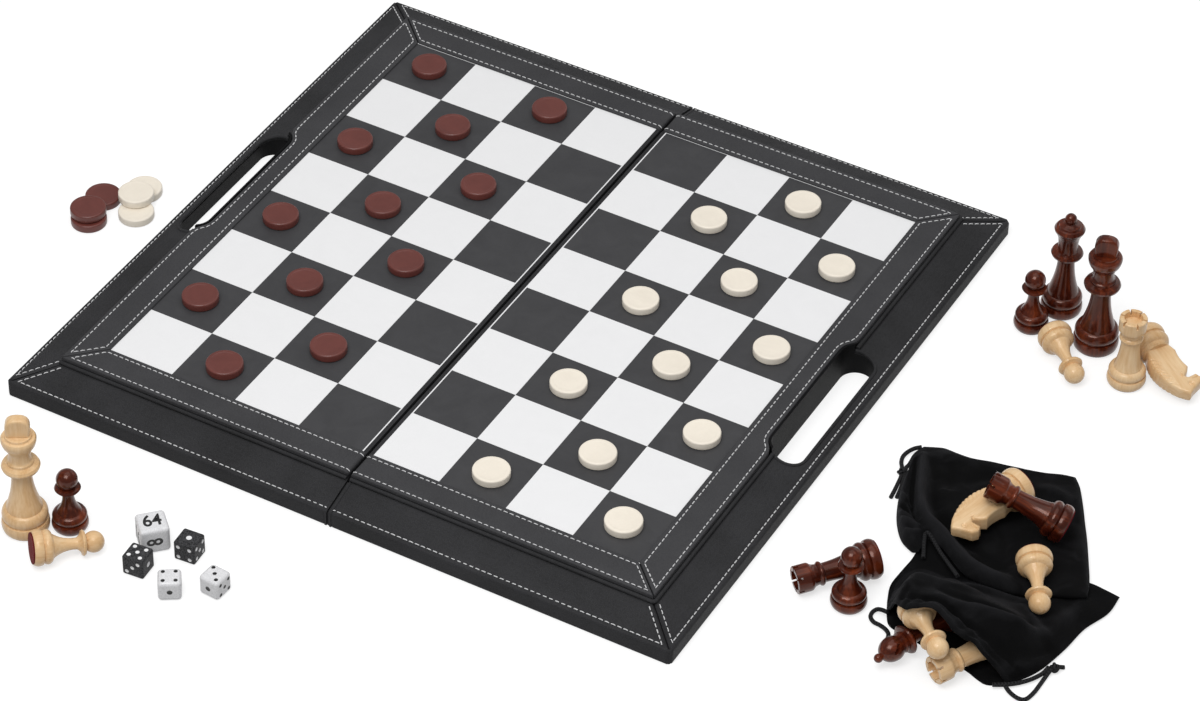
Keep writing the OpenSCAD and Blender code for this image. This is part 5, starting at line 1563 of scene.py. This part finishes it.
WORLD_LIGHT = 0.34  # the world's strength as a lamp; what the camera sees of it is plain white
FLOOR_GREY, FLOOR_GLOW, FLOOR_HALF = 0.42, 0.66, 6.0
# For each lamp: its place, the point that it faces and its two lengths, in metres, and its watts
LAMPS = (("overhead_lamp", (0.1, 0.2, 2.2), (0, 0, 0), (2.2, 1.8), 14.0),
         ("near_lamp", (0.15, -1.0, 1.75), (0.05, -0.05, 0), (1.1, 0.9), 21.0),
         ("far_lamp", (0.5, 2.2, 1.2), (0, 0, 0), (1.8, 1.0), 4.0))
CAMERA_AT = (0.8593, -1.5002, 1.4705)
CAMERA_AZ, CAMERA_EL, CAMERA_ROLL = 28.41, 40.88, 1.44
FOCAL_PX, PHOTO_W, SENSOR_MM = 4326.94, 1200, 36.0


def seen_by(tree, first, second):
    """1 for rays of the two kinds and 0 for the others."""
    rays = put(tree, "LightPath").outputs
    return math_node(tree, "MAXIMUM", rays[first], rays[second])


class STAGE_OT_studio(bpy.types.Operator):
    """Pale floor, soft lamps and the camera at the photograph's angle"""

    bl_idname = "games.studio"
    bl_label = "Studio"

    def execute(self, context):
        scene = context.scene
        scene.view_settings.view_transform = "Standard"
        scene.world = bpy.data.worlds.new("studio")
        scene.world.use_nodes = True
        tree = scene.world.node_tree
        sky = tree.nodes["Background"].inputs
        strength = put(tree, "MapRange", i_Value=seen_by(tree, "Is Camera Ray", "Is Transmission Ray"),
                       i_To_Min=WORLD_LIGHT, i_To_Max=1.0)
        plug(tree, sky["Color"], "#ffffff")
        plug(tree, sky["Strength"], strength.outputs["Result"])

        mesh = bpy.data.meshes.new("floor")
        s = FLOOR_HALF
        mesh.from_pydata([(-s, -s, 0), (s, -s, 0), (s, s, 0), (-s, s, 0)], [], [(0, 1, 2, 3)])
        floor = shown("floor", mesh)
        white = Finish("floor_white", Base_Color=(FLOOR_GREY, FLOOR_GREY, FLOOR_GREY, 1), Roughness=0.7,
                       Specular_IOR_Level=0.1, Emission_Color="#ffffff")
        seen = seen_by(white.tree, "Is Camera Ray", "Is Glossy Ray")
        white.feed("Emission Strength", math_node(white.tree, "MULTIPLY", seen, FLOOR_GLOW))
        mesh.materials.append(white.material)

        for name, place, target, size, watts in LAMPS:
            data = bpy.data.lights.new(name, "AREA")
            data.shape = "RECTANGLE"
            data.size, data.size_y = size
            data.energy = watts
            obj = shown(name, data)
            obj.location = place
            obj.rotation_euler = (Vector(target) - Vector(place)).to_track_quat("-Z", "Y").to_euler()

        camera = bpy.data.cameras.new("camera")
        camera.sensor_width = SENSOR_MM
        camera.lens = FOCAL_PX * SENSOR_MM / PHOTO_W
        scene.camera = shown("camera", camera)
        az, el = math.radians(CAMERA_AZ), math.radians(CAMERA_EL)
        ahead = Vector((-math.sin(az) * math.cos(el), math.cos(az) * math.cos(el), -math.sin(el)))
        turn = ahead.to_track_quat("-Z", "Y").to_matrix() @ Matrix.Rotation(math.radians(CAMERA_ROLL), 3, "Z")
        scene.camera.matrix_world = Matrix.Translation(CAMERA_AT) @ turn.to_4x4()
        return {"FINISHED"}


class GAMES_PT_panel(bpy.types.Panel):
    """Everything that dresses the games compendium"""

    bl_idname = "GAMES_PT_panel"
    bl_label = "Games compendium"
    bl_space_type = "VIEW_3D"
    bl_region_type = "UI"
    bl_category = "Games"

    def draw(self, context):
        for group in (context.scene.case_sizes, context.scene.games_look):
            for key in group.bl_rna.properties.keys():
                if key not in ("rna_type", "name"):
                    self.layout.prop(group, key)
        for op in OPERATORS:
            self.layout.operator(op.bl_idname)


OPERATORS = (STAGE_OT_studio, CASE_OT_boards, CASE_OT_borders, CASE_OT_skirts, CASE_OT_stitching, GAMES_OT_men,
             GAMES_OT_dice, GAMES_OT_chess, GAMES_OT_bags, GAMES_OT_drawstrings)
CLASSES = (CaseSizes, GamesLook) + OPERATORS + (GAMES_PT_panel,)


def register():
    """Adds the operators, the panel and the two groups of sizes."""
    for c in CLASSES:
        bpy.utils.register_class(c)
    bpy.types.Scene.case_sizes = bpy.props.PointerProperty(type=CaseSizes)
    bpy.types.Scene.games_look = bpy.props.PointerProperty(type=GamesLook)


def unregister():
    """Takes away what register added."""
    del bpy.types.Scene.games_look
    del bpy.types.Scene.case_sizes
    for c in reversed(CLASSES):
        bpy.utils.unregister_class(c)


def main():
    """Builds the whole object."""
    register()
    make_materials()
    for op in OPERATORS:
        getattr(bpy.ops.games, op.bl_idname.split(".")[1])()


if __name__ == "__main__":
    main()
